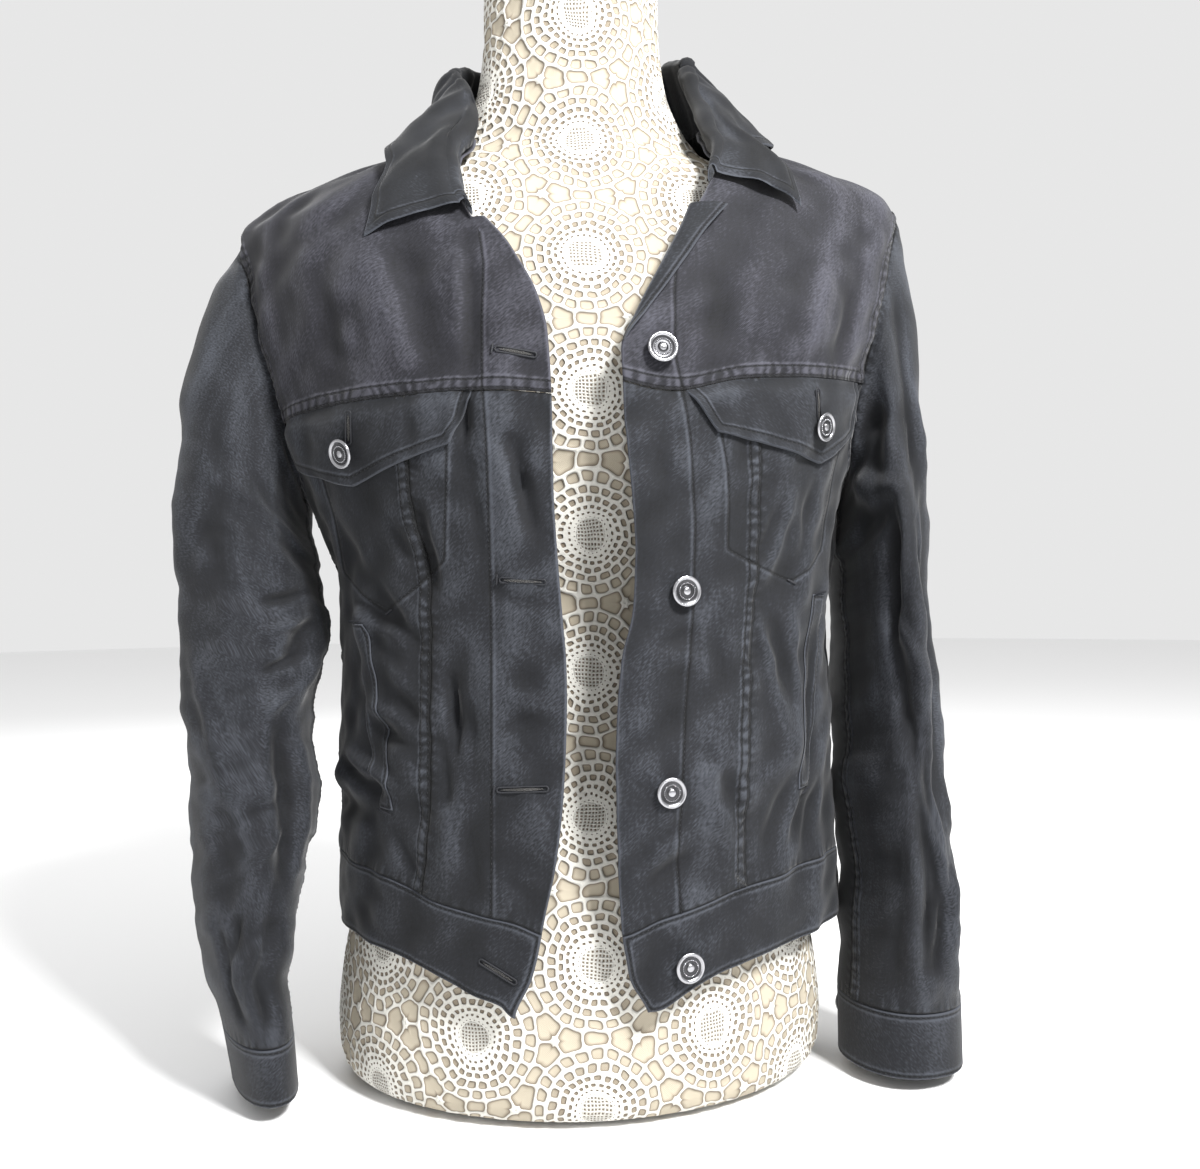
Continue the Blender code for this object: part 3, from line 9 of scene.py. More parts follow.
# %% Load the frame
import math
from collections import namedtuple

import bpy
import numpy as np
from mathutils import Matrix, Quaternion, Vector


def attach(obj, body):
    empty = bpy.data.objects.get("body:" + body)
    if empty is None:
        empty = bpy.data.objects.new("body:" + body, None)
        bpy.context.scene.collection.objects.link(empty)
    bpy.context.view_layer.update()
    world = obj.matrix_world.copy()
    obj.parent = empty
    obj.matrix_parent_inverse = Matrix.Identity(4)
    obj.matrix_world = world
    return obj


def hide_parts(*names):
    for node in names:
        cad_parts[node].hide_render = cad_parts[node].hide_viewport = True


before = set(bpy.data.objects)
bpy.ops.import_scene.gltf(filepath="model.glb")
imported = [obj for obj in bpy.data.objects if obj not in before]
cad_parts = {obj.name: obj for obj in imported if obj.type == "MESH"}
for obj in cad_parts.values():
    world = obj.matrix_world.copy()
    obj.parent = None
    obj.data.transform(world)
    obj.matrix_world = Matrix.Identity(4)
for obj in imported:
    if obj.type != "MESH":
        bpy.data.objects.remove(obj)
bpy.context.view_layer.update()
print("nodes in the frame:", len(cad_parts))

# %% Read a table
MILLIMETRES = "e-3"


def cell(word, unit):
    """A table's cell: a number, or a word as it stands."""
    if word.strip("-.0123456789"):
        return word
    return float(word + unit) if unit or "." in word else int(word)


def table(kind, text, unit=""):
    """A table's records: each on a line or between commas; a note may follow #."""
    lines = [line.split("#")[0] for line in text.splitlines()]
    return [kind(*(cell(word, unit) for word in record.split()))
            for line in lines for record in line.split(",") if record.strip()]

# %% [markdown]
# ## Sizes
# A maker works with a few fixed sizes, such as how thick the cloth is. They are named once here.

# %% Sizes of cloth, seams and stitches
SEAM_GAP = 0.0003        # between two pieces at a seam
SEAM_TURN = 0.0004       # the same gap, as a part of a turn round the body
SHOULDER_TURN = 0.0012   # and at the shoulder seams
ARMHOLE_GAP = 0.00045    # between the body and each sleeve
CLOTH = 0.0013           # one layer of denim
DOUBLE_CLOTH = 0.0024    # band, cuffs, collar and flaps are two layers
LAY_GAP = 0.0008         # between a panel and what is sewn on top of it
BODY_GIRTH = 0.90        # once round the body, to measure folds across it
SLEEVE_GIRTH = 0.31      # once round a sleeve
SLEEVE_LENGTH = 0.56     # from the armhole to the end of the cuff
BUTTON_RADIUS = 0.0086
BUTTON_HEIGHT = 0.0052
WELT_WIDTH = 0.0085
CUFF_LAP_AROUND = 0.53   # the cuffs' buttons, at the back of each sleeve
CUFF_LAP_SHARE = 0.07    # of the cuff's length, where its end laps over its start
COLLAR_BOW = 0.003       # the fall of the collar is this much rounded
COLLAR_LAPS_YOKE = 0.0014    # its lower edge reaches this far below the neckline
COLLAR_STAND_SHARE, COLLAR_ROLL_SHARE = 0.30, 0.46
COLLAR_ROLL_RADIUS = 0.0036
RIGHT, LEFT = -1, 1      # the wearer's right is -X
WORD = {RIGHT: "right", LEFT: "left"}
print("cloth", CLOTH * 1000, "mm thick, buttons", BUTTON_RADIUS * 2000, "mm across")

# %% [markdown]
# ## The body's shape
# A jacket on a form is close to a stack of horizontal sections. Each row gives one section's half
# widths and depths and how square it is. A lofted surface could be drawn by hand instead, but a
# table is easier to check against a tape measure.

# %% Sections of the body and the neckline
# From hem to neck, in metres. A power of 2 makes an ellipse, and more makes it squarer.
Section = namedtuple("Section", "z wearer_right wearer_left front back front_power back_power")
SECTIONS = table(Section, """
.04 .1515 .1675 .139 .126 1.85 2.1, .085 .1515 .168 .139 .127 1.85 2.1
.13 .152 .166 .14 .128 1.85 2.1, .18 .152 .163 .14 .128 1.9 2.1
.26 .15 .1625 .139 .122 1.95 2.1, .305 .1515 .164 .14 .121 2. 2.1
.345 .164 .169 .141 .12 2.05 2.1, .4 .185 .179 .142 .122 2.15 2.1
.45 .1985 .1945 .136 .122 2.2 2.1, .5 .208 .207 .116 .117 2.2 2.1
.52 .207 .2105 .103 .112 2.2 2.1, .53 .1975 .212 .095 .109 2.2 2.1
.538 .1885 .2125 .0875 .1065 2.2 2.1, .545 .178 .2085 .0815 .104 2.2 2.1
.551 .165 .2 .0765 .101 2.2 2.1, .556 .153 .1905 .072 .099 2.2 2.1
.561 .1395 .1775 .0675 .0965 2.15 2.1, .566 .1262 .165 .063 .094 2.1 2.1
.571 .113 .1515 .0585 .091 2.05 2., .577 .1 .134 .053 .087 2. 2.
.583 .0905 .113 .0475 .082 2. 2., .589 .084 .096 .0425 .077 2. 2.
.595 .08 .086 .039 .073 2. 2., .603 .0775 .079 .036 .069 2. 2.
.61 .0765 .0775 .034 .066 2. 2.""")

# The neckline, from the end of the collar to the centre back. A turn is once round the body.
NeckPoint = namedtuple("NeckPoint", "turn z")
NECKLINE = {
    RIGHT: table(NeckPoint, """
.044 .511, .056 .54, .085 .568, .128 .583, .157 .589, .214 .595, .33 .6, .5 .603"""),
    LEFT: table(NeckPoint, """
.044 .52, .056 .548, .085 .572, .128 .585, .157 .59, .214 .596, .33 .6005, .5 .603"""),
}
SHOULDER_SEAM_TURN = 0.157   # where the shoulder seams meet the neckline
print(len(SECTIONS), "sections from hem to neck")

# %% [markdown]
# ## Edges and seams
# The fronts hang open, so each front edge wanders. The long felled seams, the yoke's seam and the
# two edges of the waistband are lines on the same body.

# %% Front edges, felled seams, yoke seam and waistband
# The two front edges: how far each stands from the middle at each height.
EdgePoint = namedtuple("EdgePoint", "z x")
FRONT_EDGE = {
    RIGHT: table(EdgePoint, """
60 -45.5, 70 -44.5, 90 -36, 125 -28.5, 157 -21.5, 195 -17.5, 250 -15.2, 300 -18.5, 360 -21.8
405 -22.2, 440 -23.8, 462 -29, 480 -37, 500 -49, 520 -64""", MILLIMETRES),
    LEFT: table(EdgePoint, """
60 30, 70 27.6, 90 17, 125 12.2, 200 10.4, 258 13.8, 290 20.8, 320 22.6, 360 19.6, 411 15.9
430 15.5, 451 24.3, 484 41.9, 505 53, 520 60""", MILLIMETRES),
}

# The long felled seam down each front, from the yoke to the band.
FRONT_SEAM = {
    RIGHT: table(EdgePoint, """
120 -97.5, 170 -91.3, 244 -89.5, 300 -89.4, 320 -92.5, 343 -98.5, 412 -101""", MILLIMETRES),
    LEFT: table(EdgePoint, """
120 87.6, 155 85.6, 200 87, 279 92.6, 345 96.2, 430 94.5""", MILLIMETRES),
}
BACK_SEAM = table(EdgePoint, """
100 60, 260 66, 450 100""", MILLIMETRES)

# Height of the yoke's seam, and of the band's two edges, by the turn from the centre front.
Level = namedtuple("Level", "turn z")
YOKE_SEAM = {
    RIGHT: table(Level, """
.0 .404, .04 .408, .12 .406, .23 .4"""),
    LEFT: table(Level, """
.0 .415, .035 .408, .07 .416, .19 .425"""),
}
BAND_TOP = table(Level, """
-.25 .14, -.145 .137, -.1 .127, -.055 .12, -.025 .112, .013 .113, .04 .121, .1 .133, .15 .137
.25 .136""")
BAND_BOTTOM = table(Level, """
-.25 .095, -.145 .093, -.1 .086, -.072 .078, -.05 .075, -.036 .0685, .02 .07, .05 .08
.08 .088, .15 .094, .25 .093""")
BAND_BACK_TOP = 0.137
BAND_BACK_BOTTOM = 0.094
BACK_YOKE_SEAM = 0.448
print("yoke seam behind at", BACK_YOKE_SEAM, "m")

# %% [markdown]
# ## Armholes and sleeves
# A sleeve leaves its armhole as an oval on the body and turns into a tube of tilted rings. Rows
# run from the armhole to the end of the cuff.

# %% Armholes and the rings of the sleeves
# Each armhole is an oval on the body's surface. The seams that meet it are at these places
# round it, as parts of a turn: 0 to the front, 0.25 at the top, 0.5 to the back.
Armhole = namedtuple("Armhole", "turn top bottom front_reach back_reach")
ARMHOLE = {
    RIGHT: Armhole(-0.250, 0.522, 0.362, 0.050, 0.060),
    LEFT: Armhole(0.250, 0.541, 0.366, 0.068, 0.056),
}
ARMHOLE_POWER = 2.3
SHOULDER_MEETS_ARMHOLE = 0.200
SIDE_MEETS_ARMHOLE = 0.750
SLEEVE_BACK_SEAM = 0.53125

# Each ring has its middle, its half widths from inner to outer side and from front to back,
# the rise of its outer side and its turn as seen from above, in degrees.
Ring = namedtuple("Ring", "along x y z across deep tilt twist")
SLEEVE_RINGS = {
    RIGHT: table(Ring, """
.0 .19 .0 .447 .084 .06 77 0, .071 .201 -.002 .419 .071 .062 66 0
.153 .206 -.005 .381 .0605 .064 50 0, .258 .2045 -.009 .335 .0485 .065 30 0
.369 .202 -.014 .287 .0455 .064 14 2, .511 .2042 -.022 .226 .0377 .06 5 5
.638 .2004 -.03 .174 .0364 .056 2 8, .751 .2026 -.038 .128 .03 .053 0 12
.853 .204 -.047 .083 .0227 .051 0 16, .918 .1969 -.051 .045 .019 .049 0 20
1. .1935 -.046 .0095 .018 .0475 0 18"""),
    LEFT: table(Ring, """
.0 .19 .0 .451 .085 .064 77 0, .071 .196 -.002 .421 .069 .067 72 0
.153 .1935 -.005 .381 .055 .07 66 0, .258 .195 -.01 .336 .037 .072 54 0
.369 .1942 -.015 .286 .0255 .07 28 0, .511 .193 -.023 .222 .0235 .066 8 -4
.638 .1942 -.031 .167 .0255 .06 0 -6, .751 .1968 -.038 .118 .0275 .055 0 -8
.853 .1955 -.043 .077 .03 .049 0 -10, .918 .1955 -.046 .0465 .034 .043 0 -14
1. .1955 -.048 .0075 .035 .0415 0 -14"""),
}
CUFF_STARTS = 0.918
CUFF_SEAM = 0.0006       # between sleeve and cuff, as a share of the sleeve's length
CUFF_ENDS = 0.9994
SLEEVE_POWER = 2.15
SLEEVE_JOINS = 0.17      # the armhole's oval has become the tube at this share of the length
print(len(SLEEVE_RINGS[LEFT]), "rings in each sleeve")

# %% [markdown]
# ## The largest folds
# Each fold runs from one place to another with a width and a height, so it can be put where the
# cloth really drags: from the underarm, over the hip and down the elbow.

# %% Folds of the body and the sleeves
# A soft ridge, or a trough where the height is negative, between two places.
Fold = namedtuple("Fold", "turn_a at_a turn_b at_b width height")
BODY_FOLDS = table(Fold, """
-.078 .5 -.07 .425 .012 -.006  # hollow beside the right placket
-.095 .49 -.088 .43 .011 .0035, -.062 .398 -.066 .34 .008 -.0035
-.03 .385 -.033 .32 .01 -.003
-.085 .255 -.076 .205 .009 -.006  # dark fold low on the right front
-.07 .27 -.062 .18 .011 .004, -.13 .25 -.112 .225 .007 -.003, -.128 .205 -.108 .19 .008 .003
-.24 .19 -.165 .188 .008 .0045  # roll over the right hip
-.24 .172 -.16 .17 .006 -.0045, -.185 .34 -.14 .29 .01 -.003, -.175 .3 -.15 .24 .01 .003
-.07 .16 -.04 .15 .008 -.0025
.11 .25 .14 .19 .012 .004  # long drags over the left hip
.095 .3 .125 .21 .012 -.0035, .08 .24 .062 .16 .012 .003, .12 .35 .14 .3 .01 .0025
.15 .175 .12 .155 .008 -.003, .055 .35 .05 .23 .013 -.0025, .07 .48 .085 .44 .016 .003
.205 .33 .23 .24 .014 -.004  # down the left side
.3 .34 .32 .2 .015 .004  # the back hangs in long soft folds
.35 .42 .345 .24 .016 -.0045, .395 .4 .4 .18 .017 .004, .45 .43 .445 .26 .015 -.0035
.5 .33 .505 .17 .016 .0035, .555 .42 .55 .23 .016 -.004, .61 .38 .6 .19 .016 .004
.66 .4 .668 .22 .015 -.0045, .705 .33 .69 .2 .013 .0035, .4 .5 .6 .498 .02 -.0025""")
SLEEVE_FOLDS = {
    RIGHT: table(Fold, """
.02 .1 .06 .42 .011 -.003, .13 .12 .16 .56 .012 .003
.82 .33 .9 .43 .008 -.005  # elbow folds on the inner side
.78 .38 .88 .5 .008 .0045
.9 .5 .915 .72 .009 -.007  # long hollow along the under seam
.85 .52 .862 .74 .008 .004, .96 .56 .99 .78 .011 .0035, .08 .6 .06 .84 .012 -.0025
.96 .86 .02 .91 .008 -.003
.54 .28 .45 .42 .01 .0045  # back of the elbow
.6 .38 .43 .48 .009 -.0045, .56 .52 .4 .6 .01 .004, .35 .15 .38 .7 .014 -.003
.48 .66 .5 .88 .011 .003, .22 .56 .26 .88 .013 .0025"""),
    LEFT: table(Fold, """
.0 .06 .96 .17 .009 .0075  # pinched fold at the underarm
.05 .09 .035 .22 .01 -.006
.98 .17 .03 .56 .01 .0065  # long lit ridge down the front
.08 .22 .1 .64 .011 -.007, .14 .3 .15 .62 .011 .005, .93 .24 .96 .6 .01 -.006
.02 .56 .99 .86 .01 -.0055, .065 .64 .075 .89 .009 .005, .13 .66 .12 .9 .009 -.0055
.94 .66 .93 .88 .009 .0045, .2 .5 .19 .88 .01 .004, .25 .2 .24 .46 .012 -.0035
.42 .3 .56 .4 .01 -.0045, .42 .38 .56 .48 .01 .0045, .48 .52 .47 .86 .011 .004
.35 .36 .34 .82 .012 -.0045"""),
}
print(len(BODY_FOLDS) + sum(len(rows) for rows in SLEEVE_FOLDS.values()), "large folds")

# %% [markdown]
# ## Collar, flaps, welts and the folded front
# The collar stands, rolls over and falls, and its points spread. Its cross lines follow the neck.

# %% Collar lines, flaps, welts and lapel
# Cross lines of the collar, from its right front end round the back to the left one: how high
# and how far in it folds over, and the place of its free edge with its lift off the body.
CollarLine = namedtuple("CollarLine", "around roll_up roll_in edge_around edge_z edge_lift")
COLLAR = table(CollarLine, """
.044 .008 .003 .096 .4985 .004, .056 .009 .004 .092 .517 .006, .085 .012 .006 .0945 .537 .007
.128 .024 .01 .127 .557 .006, .183 .03 .011 .185 .569 .005, .25 .036 .012 .25 .575 .006
.33 .043 .012 .32 .579 .009, .41 .048 .012 .4 .579 .011, .5 .048 .011 .5 .576 .012
.59 .049 .012 .6 .58 .011, .67 .048 .014 .68 .583 .009, .75 .043 .015 .75 .58 .005
.817 .037 .015 .815 .577 .005, .872 .026 .012 .873 .573 .006, .915 .015 .008 .903 .555 .007
.94 .011 .004 .906 .538 .006, .95 .01 .003 .903 .521 .004""")

# Pocket flaps. The long edges are at turns round the body; the two low corners and the point
# between them have a turn and a height.
Flap = namedtuple(
    "Flap", "top_inner top_outer low_inner low_outer point point_z low_z_in low_z_out")
FLAPS = {
    RIGHT: Flap(-0.0510, -0.1980, -0.0670, -0.2020, -0.1380, 0.3600, 0.3800, 0.3740),
    LEFT: Flap(0.0410, 0.1790, 0.0600, 0.1810, 0.1380, 0.3720, 0.3860, 0.3920),
}

# The slanted welts of the hand pockets.
Welt = namedtuple("Welt", "top_x top_z low_x low_z")
WELTS = {
    RIGHT: Welt(-0.1300, 0.2820, -0.1160, 0.1760),
    LEFT: Welt(0.1385, 0.2960, 0.1265, 0.1820),
}

# The strip of the left front that is folded back at the neck, from its fold to its free edge.
LapelRow = namedtuple("LapelRow", "z spread")
LAPEL = table(LapelRow, """
433 1.2, 451 6, 462 8.8, 485 13, 500 15.5, 518 22.5""", MILLIMETRES)
LAPEL_LIFT = 0.0030      # the free edge stands this far off the yoke
print(len(COLLAR), "cross lines in the collar")

# %% Where the buttons sit
ButtonPlace = namedtuple("ButtonPlace", "name x z")
FRONT_BUTTONS = table(ButtonPlace, """
button_front_1 .0375 .43, button_front_2 .05 .299, button_front_3 .0395 .19
button_front_4 .049 .094""")
FLAP_BUTTONS = {
    RIGHT: ButtonPlace("button_pocket_right", -0.1335, 0.3790),
    LEFT: ButtonPlace("button_pocket_left", 0.1320, 0.3930),
}

# %% [markdown]
# ## The dress form
# A limbless torso, again as sections. Most of it is hidden, but its front, hips and neck show.

# %% Sections of the dress form
FormSection = namedtuple("FormSection", "z half front back power")
FORM = table(FormSection, """
.0 .14 .108 .106 1.95, .004 .1475 .116 .113 1.95, .014 .153 .1215 .118 1.95
.035 .1542 .123 .119 1.95, .065 .1515 .1215 .118 1.95, .095 .1465 .118 .116 1.95
.15 .138 .108 .106 1.98, .22 .121 .093 .09 2., .28 .117 .09 .085 2., .35 .128 .104 .09 2.
.41 .14 .116 .095 2.05, .45 .148 .113 .097 2.1, .49 .16 .1 .096 2.1, .52 .168 .085 .0905 2.1
.534 .169 .0775 .086 2.05, .544 .164 .0715 .082 1.95, .552 .153 .067 .079 1.85
.56 .135 .063 .0755 1.7, .568 .1145 .0595 .0715 1.55, .576 .094 .056 .067 1.5
.584 .0815 .0535 .0625 1.6, .597 .071 .0515 .0575 1.75, .62 .061 .05 .0515 1.95
.65 .057 .05 .05 2., .7 .0555 .05 .05 2., .708 .053 .048 .048 2., .711 .047 .042 .042 2.""")
print("form stands", FORM[-1].z, "m high")

# %% [markdown]
# ## Smooth lines through the tables
# A curve that never swings past its rows keeps seams fair. A spline tool would do the same, but
# plain functions give any number of places at once, which a fine mesh needs.

# %% Curves through a table's columns
class Curve:
    """A smooth line through a table's rows that never swings past them."""

    def __init__(self, places, values):
        self.places = np.array(places, float)
        self.values = np.array(values, float)
        step = np.diff(self.places)
        slope = np.diff(self.values) / step
        self.tangents = np.zeros(len(self.values))
        self.tangents[0], self.tangents[-1] = slope[0], slope[-1]
        for i in range(1, len(self.values) - 1):
            before, after = slope[i - 1], slope[i]
            if before * after > 0:
                weight_a = 2 * step[i] + step[i - 1]
                weight_b = step[i] + 2 * step[i - 1]
                self.tangents[i] = (weight_a + weight_b) / (weight_a / before + weight_b / after)

    def __call__(self, at):
        at = np.clip(at, self.places[0], self.places[-1])
        i = np.clip(np.searchsorted(self.places, at, side="right") - 1, 0, len(self.places) - 2)
        width = self.places[i + 1] - self.places[i]
        t = (at - self.places[i]) / width
        rest = 1 - t
        return (rest ** 2 * (1 + 2 * t) * self.values[i]
                + rest ** 2 * t * width * self.tangents[i]
                + t ** 2 * (3 - 2 * t) * self.values[i + 1]
                - t ** 2 * rest * width * self.tangents[i + 1])


def columns(rows, key):
    """One curve for each column of a table, along the column named key."""
    places = [getattr(row, key) for row in rows]
    return {name: Curve(places, [getattr(row, name) for row in rows])
            for name in rows[0]._fields if name != key}


BODY = columns(SECTIONS, "z")
EDGE_X, SEAM_X, YOKE_Z, NECK_Z = (
    {side: Curve(*zip(*rows)) for side, rows in pair.items()}
    for pair in (FRONT_EDGE, FRONT_SEAM, YOKE_SEAM, NECKLINE))
BACK_SEAM_X, BAND_TOP_Z, BAND_BOTTOM_Z = (
    Curve(*zip(*rows)) for rows in (BACK_SEAM, BAND_TOP, BAND_BOTTOM))
SLEEVE = {side: columns(rows, "along") for side, rows in SLEEVE_RINGS.items()}
DRESS_FORM = columns(FORM, "z")
COLLAR_LINES = columns(COLLAR, "around")
print("curves ready:", len(BODY) + len(DRESS_FORM))

# %% Places and directions on the body
def signed_power(value, power):
    return np.sign(value) * np.abs(value) ** power


def unit(vectors):
    return vectors / np.linalg.norm(vectors, axis=-1, keepdims=True)


def body_base(turn, z):
    """The jacket's body without its folds."""
    angle = 2 * math.pi * turn
    across, forward = np.sin(angle), np.cos(angle)
    half = np.where(across < 0, BODY["wearer_right"](z), BODY["wearer_left"](z))
    depth = np.where(forward > 0, BODY["front"](z), BODY["back"](z))
    power = np.where(forward > 0, BODY["front_power"](z), BODY["back_power"](z))
    x = half * signed_power(across, 2 / power)
    y = -depth * signed_power(forward, 2 / power)
    return np.stack([x, y, z * np.ones_like(x)], axis=-1)


def body_normal(turn, z):
    """Outward direction of the body's surface."""
    step_turn, step_z = 0.002, 0.0015
    round_it = body_base(turn + step_turn, z) - body_base(turn - step_turn, z)
    up_it = body_base(turn, z + step_z) - body_base(turn, z - step_z)
    return unit(np.cross(round_it, up_it))


def fold_height(folds, turn, at, girth, length):
    """Height of all the folds at a place, over a surface of this girth and length."""
    total = np.zeros_like(turn * at)
    for fold in folds:
        across = (turn - fold.turn_a + 0.5) % 1.0 - 0.5
        run_turn = ((fold.turn_b - fold.turn_a + 0.5) % 1.0 - 0.5) * girth
        run_at = (fold.at_b - fold.at_a) * length
        here_turn = across * girth
        here_at = (at - fold.at_a) * length
        run = run_turn ** 2 + run_at ** 2
        along = np.clip((here_turn * run_turn + here_at * run_at) / run, 0, 1)
        away = (here_turn - along * run_turn) ** 2 + (here_at - along * run_at) ** 2
        swell = 0.35 + 0.65 * np.sin(math.pi * along)
        total = total + fold.height * swell * np.exp(-away / fold.width ** 2)
    return total

# %% The armhole and the inside of the cloth
def armhole_place(side, around):
    """Turn and height of a place round the armhole."""
    hole = ARMHOLE[side]
    angle = 2 * math.pi * np.asarray(around, float)
    forward, rise = np.cos(angle), np.sin(angle)
    reach = np.where(forward > 0, hole.front_reach, hole.back_reach)
    middle = (hole.top + hole.bottom) / 2
    turn = hole.turn - side * reach * signed_power(forward, 2 / ARMHOLE_POWER)
    z = middle + (hole.top - hole.bottom) / 2 * signed_power(rise, 2 / ARMHOLE_POWER)
    return turn, z


def armhole_middle(side):
    turn, z = armhole_place(side, np.arange(24) / 24)
    return body_base(turn, z).mean(axis=0)


ARMHOLE_MIDDLE = {side: armhole_middle(side) for side in (RIGHT, LEFT)}


def inward(turn, z):
    """Direction through the cloth to its inside. Near an armhole it leans to the sleeve's
    hollow, most of all under the arm, so that body and sleeve share their seam's direction."""
    direction = -body_normal(turn, z)
    for side in (RIGHT, LEFT):
        hole = ARMHOLE[side]
        away_turn = (turn - hole.turn + 0.5) % 1.0 - 0.5
        reach = np.where(away_turn * side < 0, hole.front_reach, hole.back_reach)
        middle = (hole.top + hole.bottom) / 2
        half = (hole.top - hole.bottom) / 2
        size = (np.abs(away_turn / reach) ** ARMHOLE_POWER
                + np.abs((z - middle) / half) ** ARMHOLE_POWER) ** (1 / ARMHOLE_POWER)
        near = np.clip(1 - (size - 1) / 0.2, 0, 1)
        low = np.clip((hole.top - z) / (hole.top - hole.bottom), 0, 1) ** 1.5
        to_middle = unit(ARMHOLE_MIDDLE[side] - body_base(turn, z))
        direction = direction + to_middle * (near * low)[..., None]
    return unit(direction)


def matched(*values):
    """Values spread over one grid."""
    return np.broadcast_arrays(*(np.asarray(value, float) for value in values))


def body_layer(turn, z, lift=0.0):
    """A place on the body with its folds, lifted off the cloth's outer face."""
    turn, z = matched(turn, z)
    height = fold_height(BODY_FOLDS, turn, z, BODY_GIRTH, 1.0) + lift
    return body_base(turn, z) + body_normal(turn, z) * height[..., None]

# %% From widths to turns
def turn_off_middle(x, z, power):
    """Turn, without its sign, from the middle of the front or back to a place this far off it."""
    half = np.where(np.asarray(x) < 0, BODY["wearer_right"](z), BODY["wearer_left"](z))
    return np.arcsin(np.clip(np.abs(x) / half, 0, 1) ** (BODY[power](z) / 2)) / (2 * math.pi)


def front_turn(x, z):
    return np.sign(x) * turn_off_middle(x, z, "front_power")


def back_turn(x, z):
    return np.sign(x) * (0.5 - turn_off_middle(x, z, "back_power"))


def neck_z(turn):
    """Height of the neckline at a turn from -0.5 to 0.5."""
    return np.where(turn < 0, NECK_Z[RIGHT](np.abs(turn)), NECK_Z[LEFT](np.abs(turn)))


def band_levels(turn):
    """Heights of the band's top and bottom at a turn from -0.5 to 0.5."""
    behind = np.clip((np.abs(turn) - 0.2) / 0.1, 0, 1)
    top = BAND_TOP_Z(turn) * (1 - behind) + BAND_BACK_TOP * behind
    bottom = BAND_BOTTOM_Z(turn) * (1 - behind) + BAND_BACK_BOTTOM * behind
    return top, bottom

# %% Places and directions on the sleeves
def tube_base(side, around, along):
    """The sleeve's rings, before they are joined to the armhole."""
    ring = {name: curve(along) for name, curve in SLEEVE[side].items()}
    tilt, twist = np.radians(ring["tilt"]), np.radians(ring["twist"])
    angle = 2 * math.pi * around
    outer = signed_power(np.sin(angle), 2 / SLEEVE_POWER) * ring["across"]
    front = signed_power(np.cos(angle), 2 / SLEEVE_POWER) * ring["deep"]
    level = outer * np.cos(tilt)
    x = side * (ring["x"] + level * np.cos(twist) - front * np.sin(twist))
    y = ring["y"] - front * np.cos(twist) - level * np.sin(twist)
    z = ring["z"] + outer * np.sin(tilt)
    return np.stack(np.broadcast_arrays(x, y, z), axis=-1)


def sleeve_base(side, around, along):
    """The sleeve without its folds: it leaves the armhole and becomes the tube."""
    around, along = matched(around, along)
    turn, z = armhole_place(side, around)
    start = body_layer(turn, z)
    to_middle = unit(ARMHOLE_MIDDLE[side] - start)
    start = start + to_middle * ARMHOLE_GAP
    joined = np.clip(along / SLEEVE_JOINS, 0, 1)
    joined = (joined * joined * (3 - 2 * joined))[..., None]
    return start * (1 - joined) + tube_base(side, around, along) * joined


def sleeve_normal(side, around, along):
    step_around, step_along = 0.004, 0.006
    round_it = (sleeve_base(side, around + step_around, along)
                - sleeve_base(side, around - step_around, along))
    down_it = (sleeve_base(side, around, np.clip(along + step_along, 0, 1))
               - sleeve_base(side, around, np.clip(along - step_along, 0, 1)))
    return unit(np.cross(down_it, round_it)) * side


CALM_BY_ARMHOLE, CALM_BY_CUFF = 0.06, 0.03


def freedom(along):
    """1 down a sleeve and 0 at its two ends, where a fold would open the seam."""
    return (np.clip(along / CALM_BY_ARMHOLE, 0, 1)
            * np.clip((CUFF_STARTS - along) / CALM_BY_CUFF, 0, 1))


def sleeve_layer(side, around, along, lift=0.0):
    around, along = matched(around, along)
    folds = fold_height(SLEEVE_FOLDS[side], around, along, SLEEVE_GIRTH, SLEEVE_LENGTH)
    height = (folds * freedom(along) + lift)[..., None]
    return sleeve_base(side, around, along) + sleeve_normal(side, around, along) * height

# %% Lines that the panels share
def blend_patch(low, high, start, end):
    """Places between four border lines, each an array of (turn, z): low and high run across,
    start and end run up their ends."""
    across = np.linspace(0, 1, len(low))[None, :, None]
    up = np.linspace(0, 1, len(start))[:, None, None]
    ruled_up = low[None] * (1 - up) + high[None] * up
    ruled_across = start[:, None] * (1 - across) + end[:, None] * across
    corners = (low[0] * (1 - across) * (1 - up) + low[-1] * across * (1 - up)
               + high[0] * (1 - across) * up + high[-1] * across * up)
    grid = ruled_up + ruled_across - corners
    return grid[..., 0], grid[..., 1]


def places(turn, z):
    return np.stack(matched(turn, z), axis=-1)


def armhole_run(side, start, end, steps):
    turn, z = armhole_place(side, np.linspace(start, end, steps + 1))
    return places(turn, z)


def yoke_crossing(side):
    """Place round the armhole where the front yoke's seam meets it."""
    around = np.linspace(-0.20, 0.10, 301)
    turn, z = armhole_place(side, around)
    return around[np.argmin(np.abs(z - YOKE_Z[side](np.abs(turn))))]


YOKE_MEETS_ARMHOLE = {side: yoke_crossing(side) for side in (RIGHT, LEFT)}


def band_top(turn):
    return band_levels(turn)[0]


def yoke_level(side):
    return lambda turn: YOKE_Z[side](np.abs(turn))


def crossing(line, level):
    """Turn at which a long line of a front, given by x at each height, crosses a level."""
    z = level(0.0)
    for _ in range(6):
        turn = front_turn(line(z), z)
        z = level(turn)
    return float(turn)


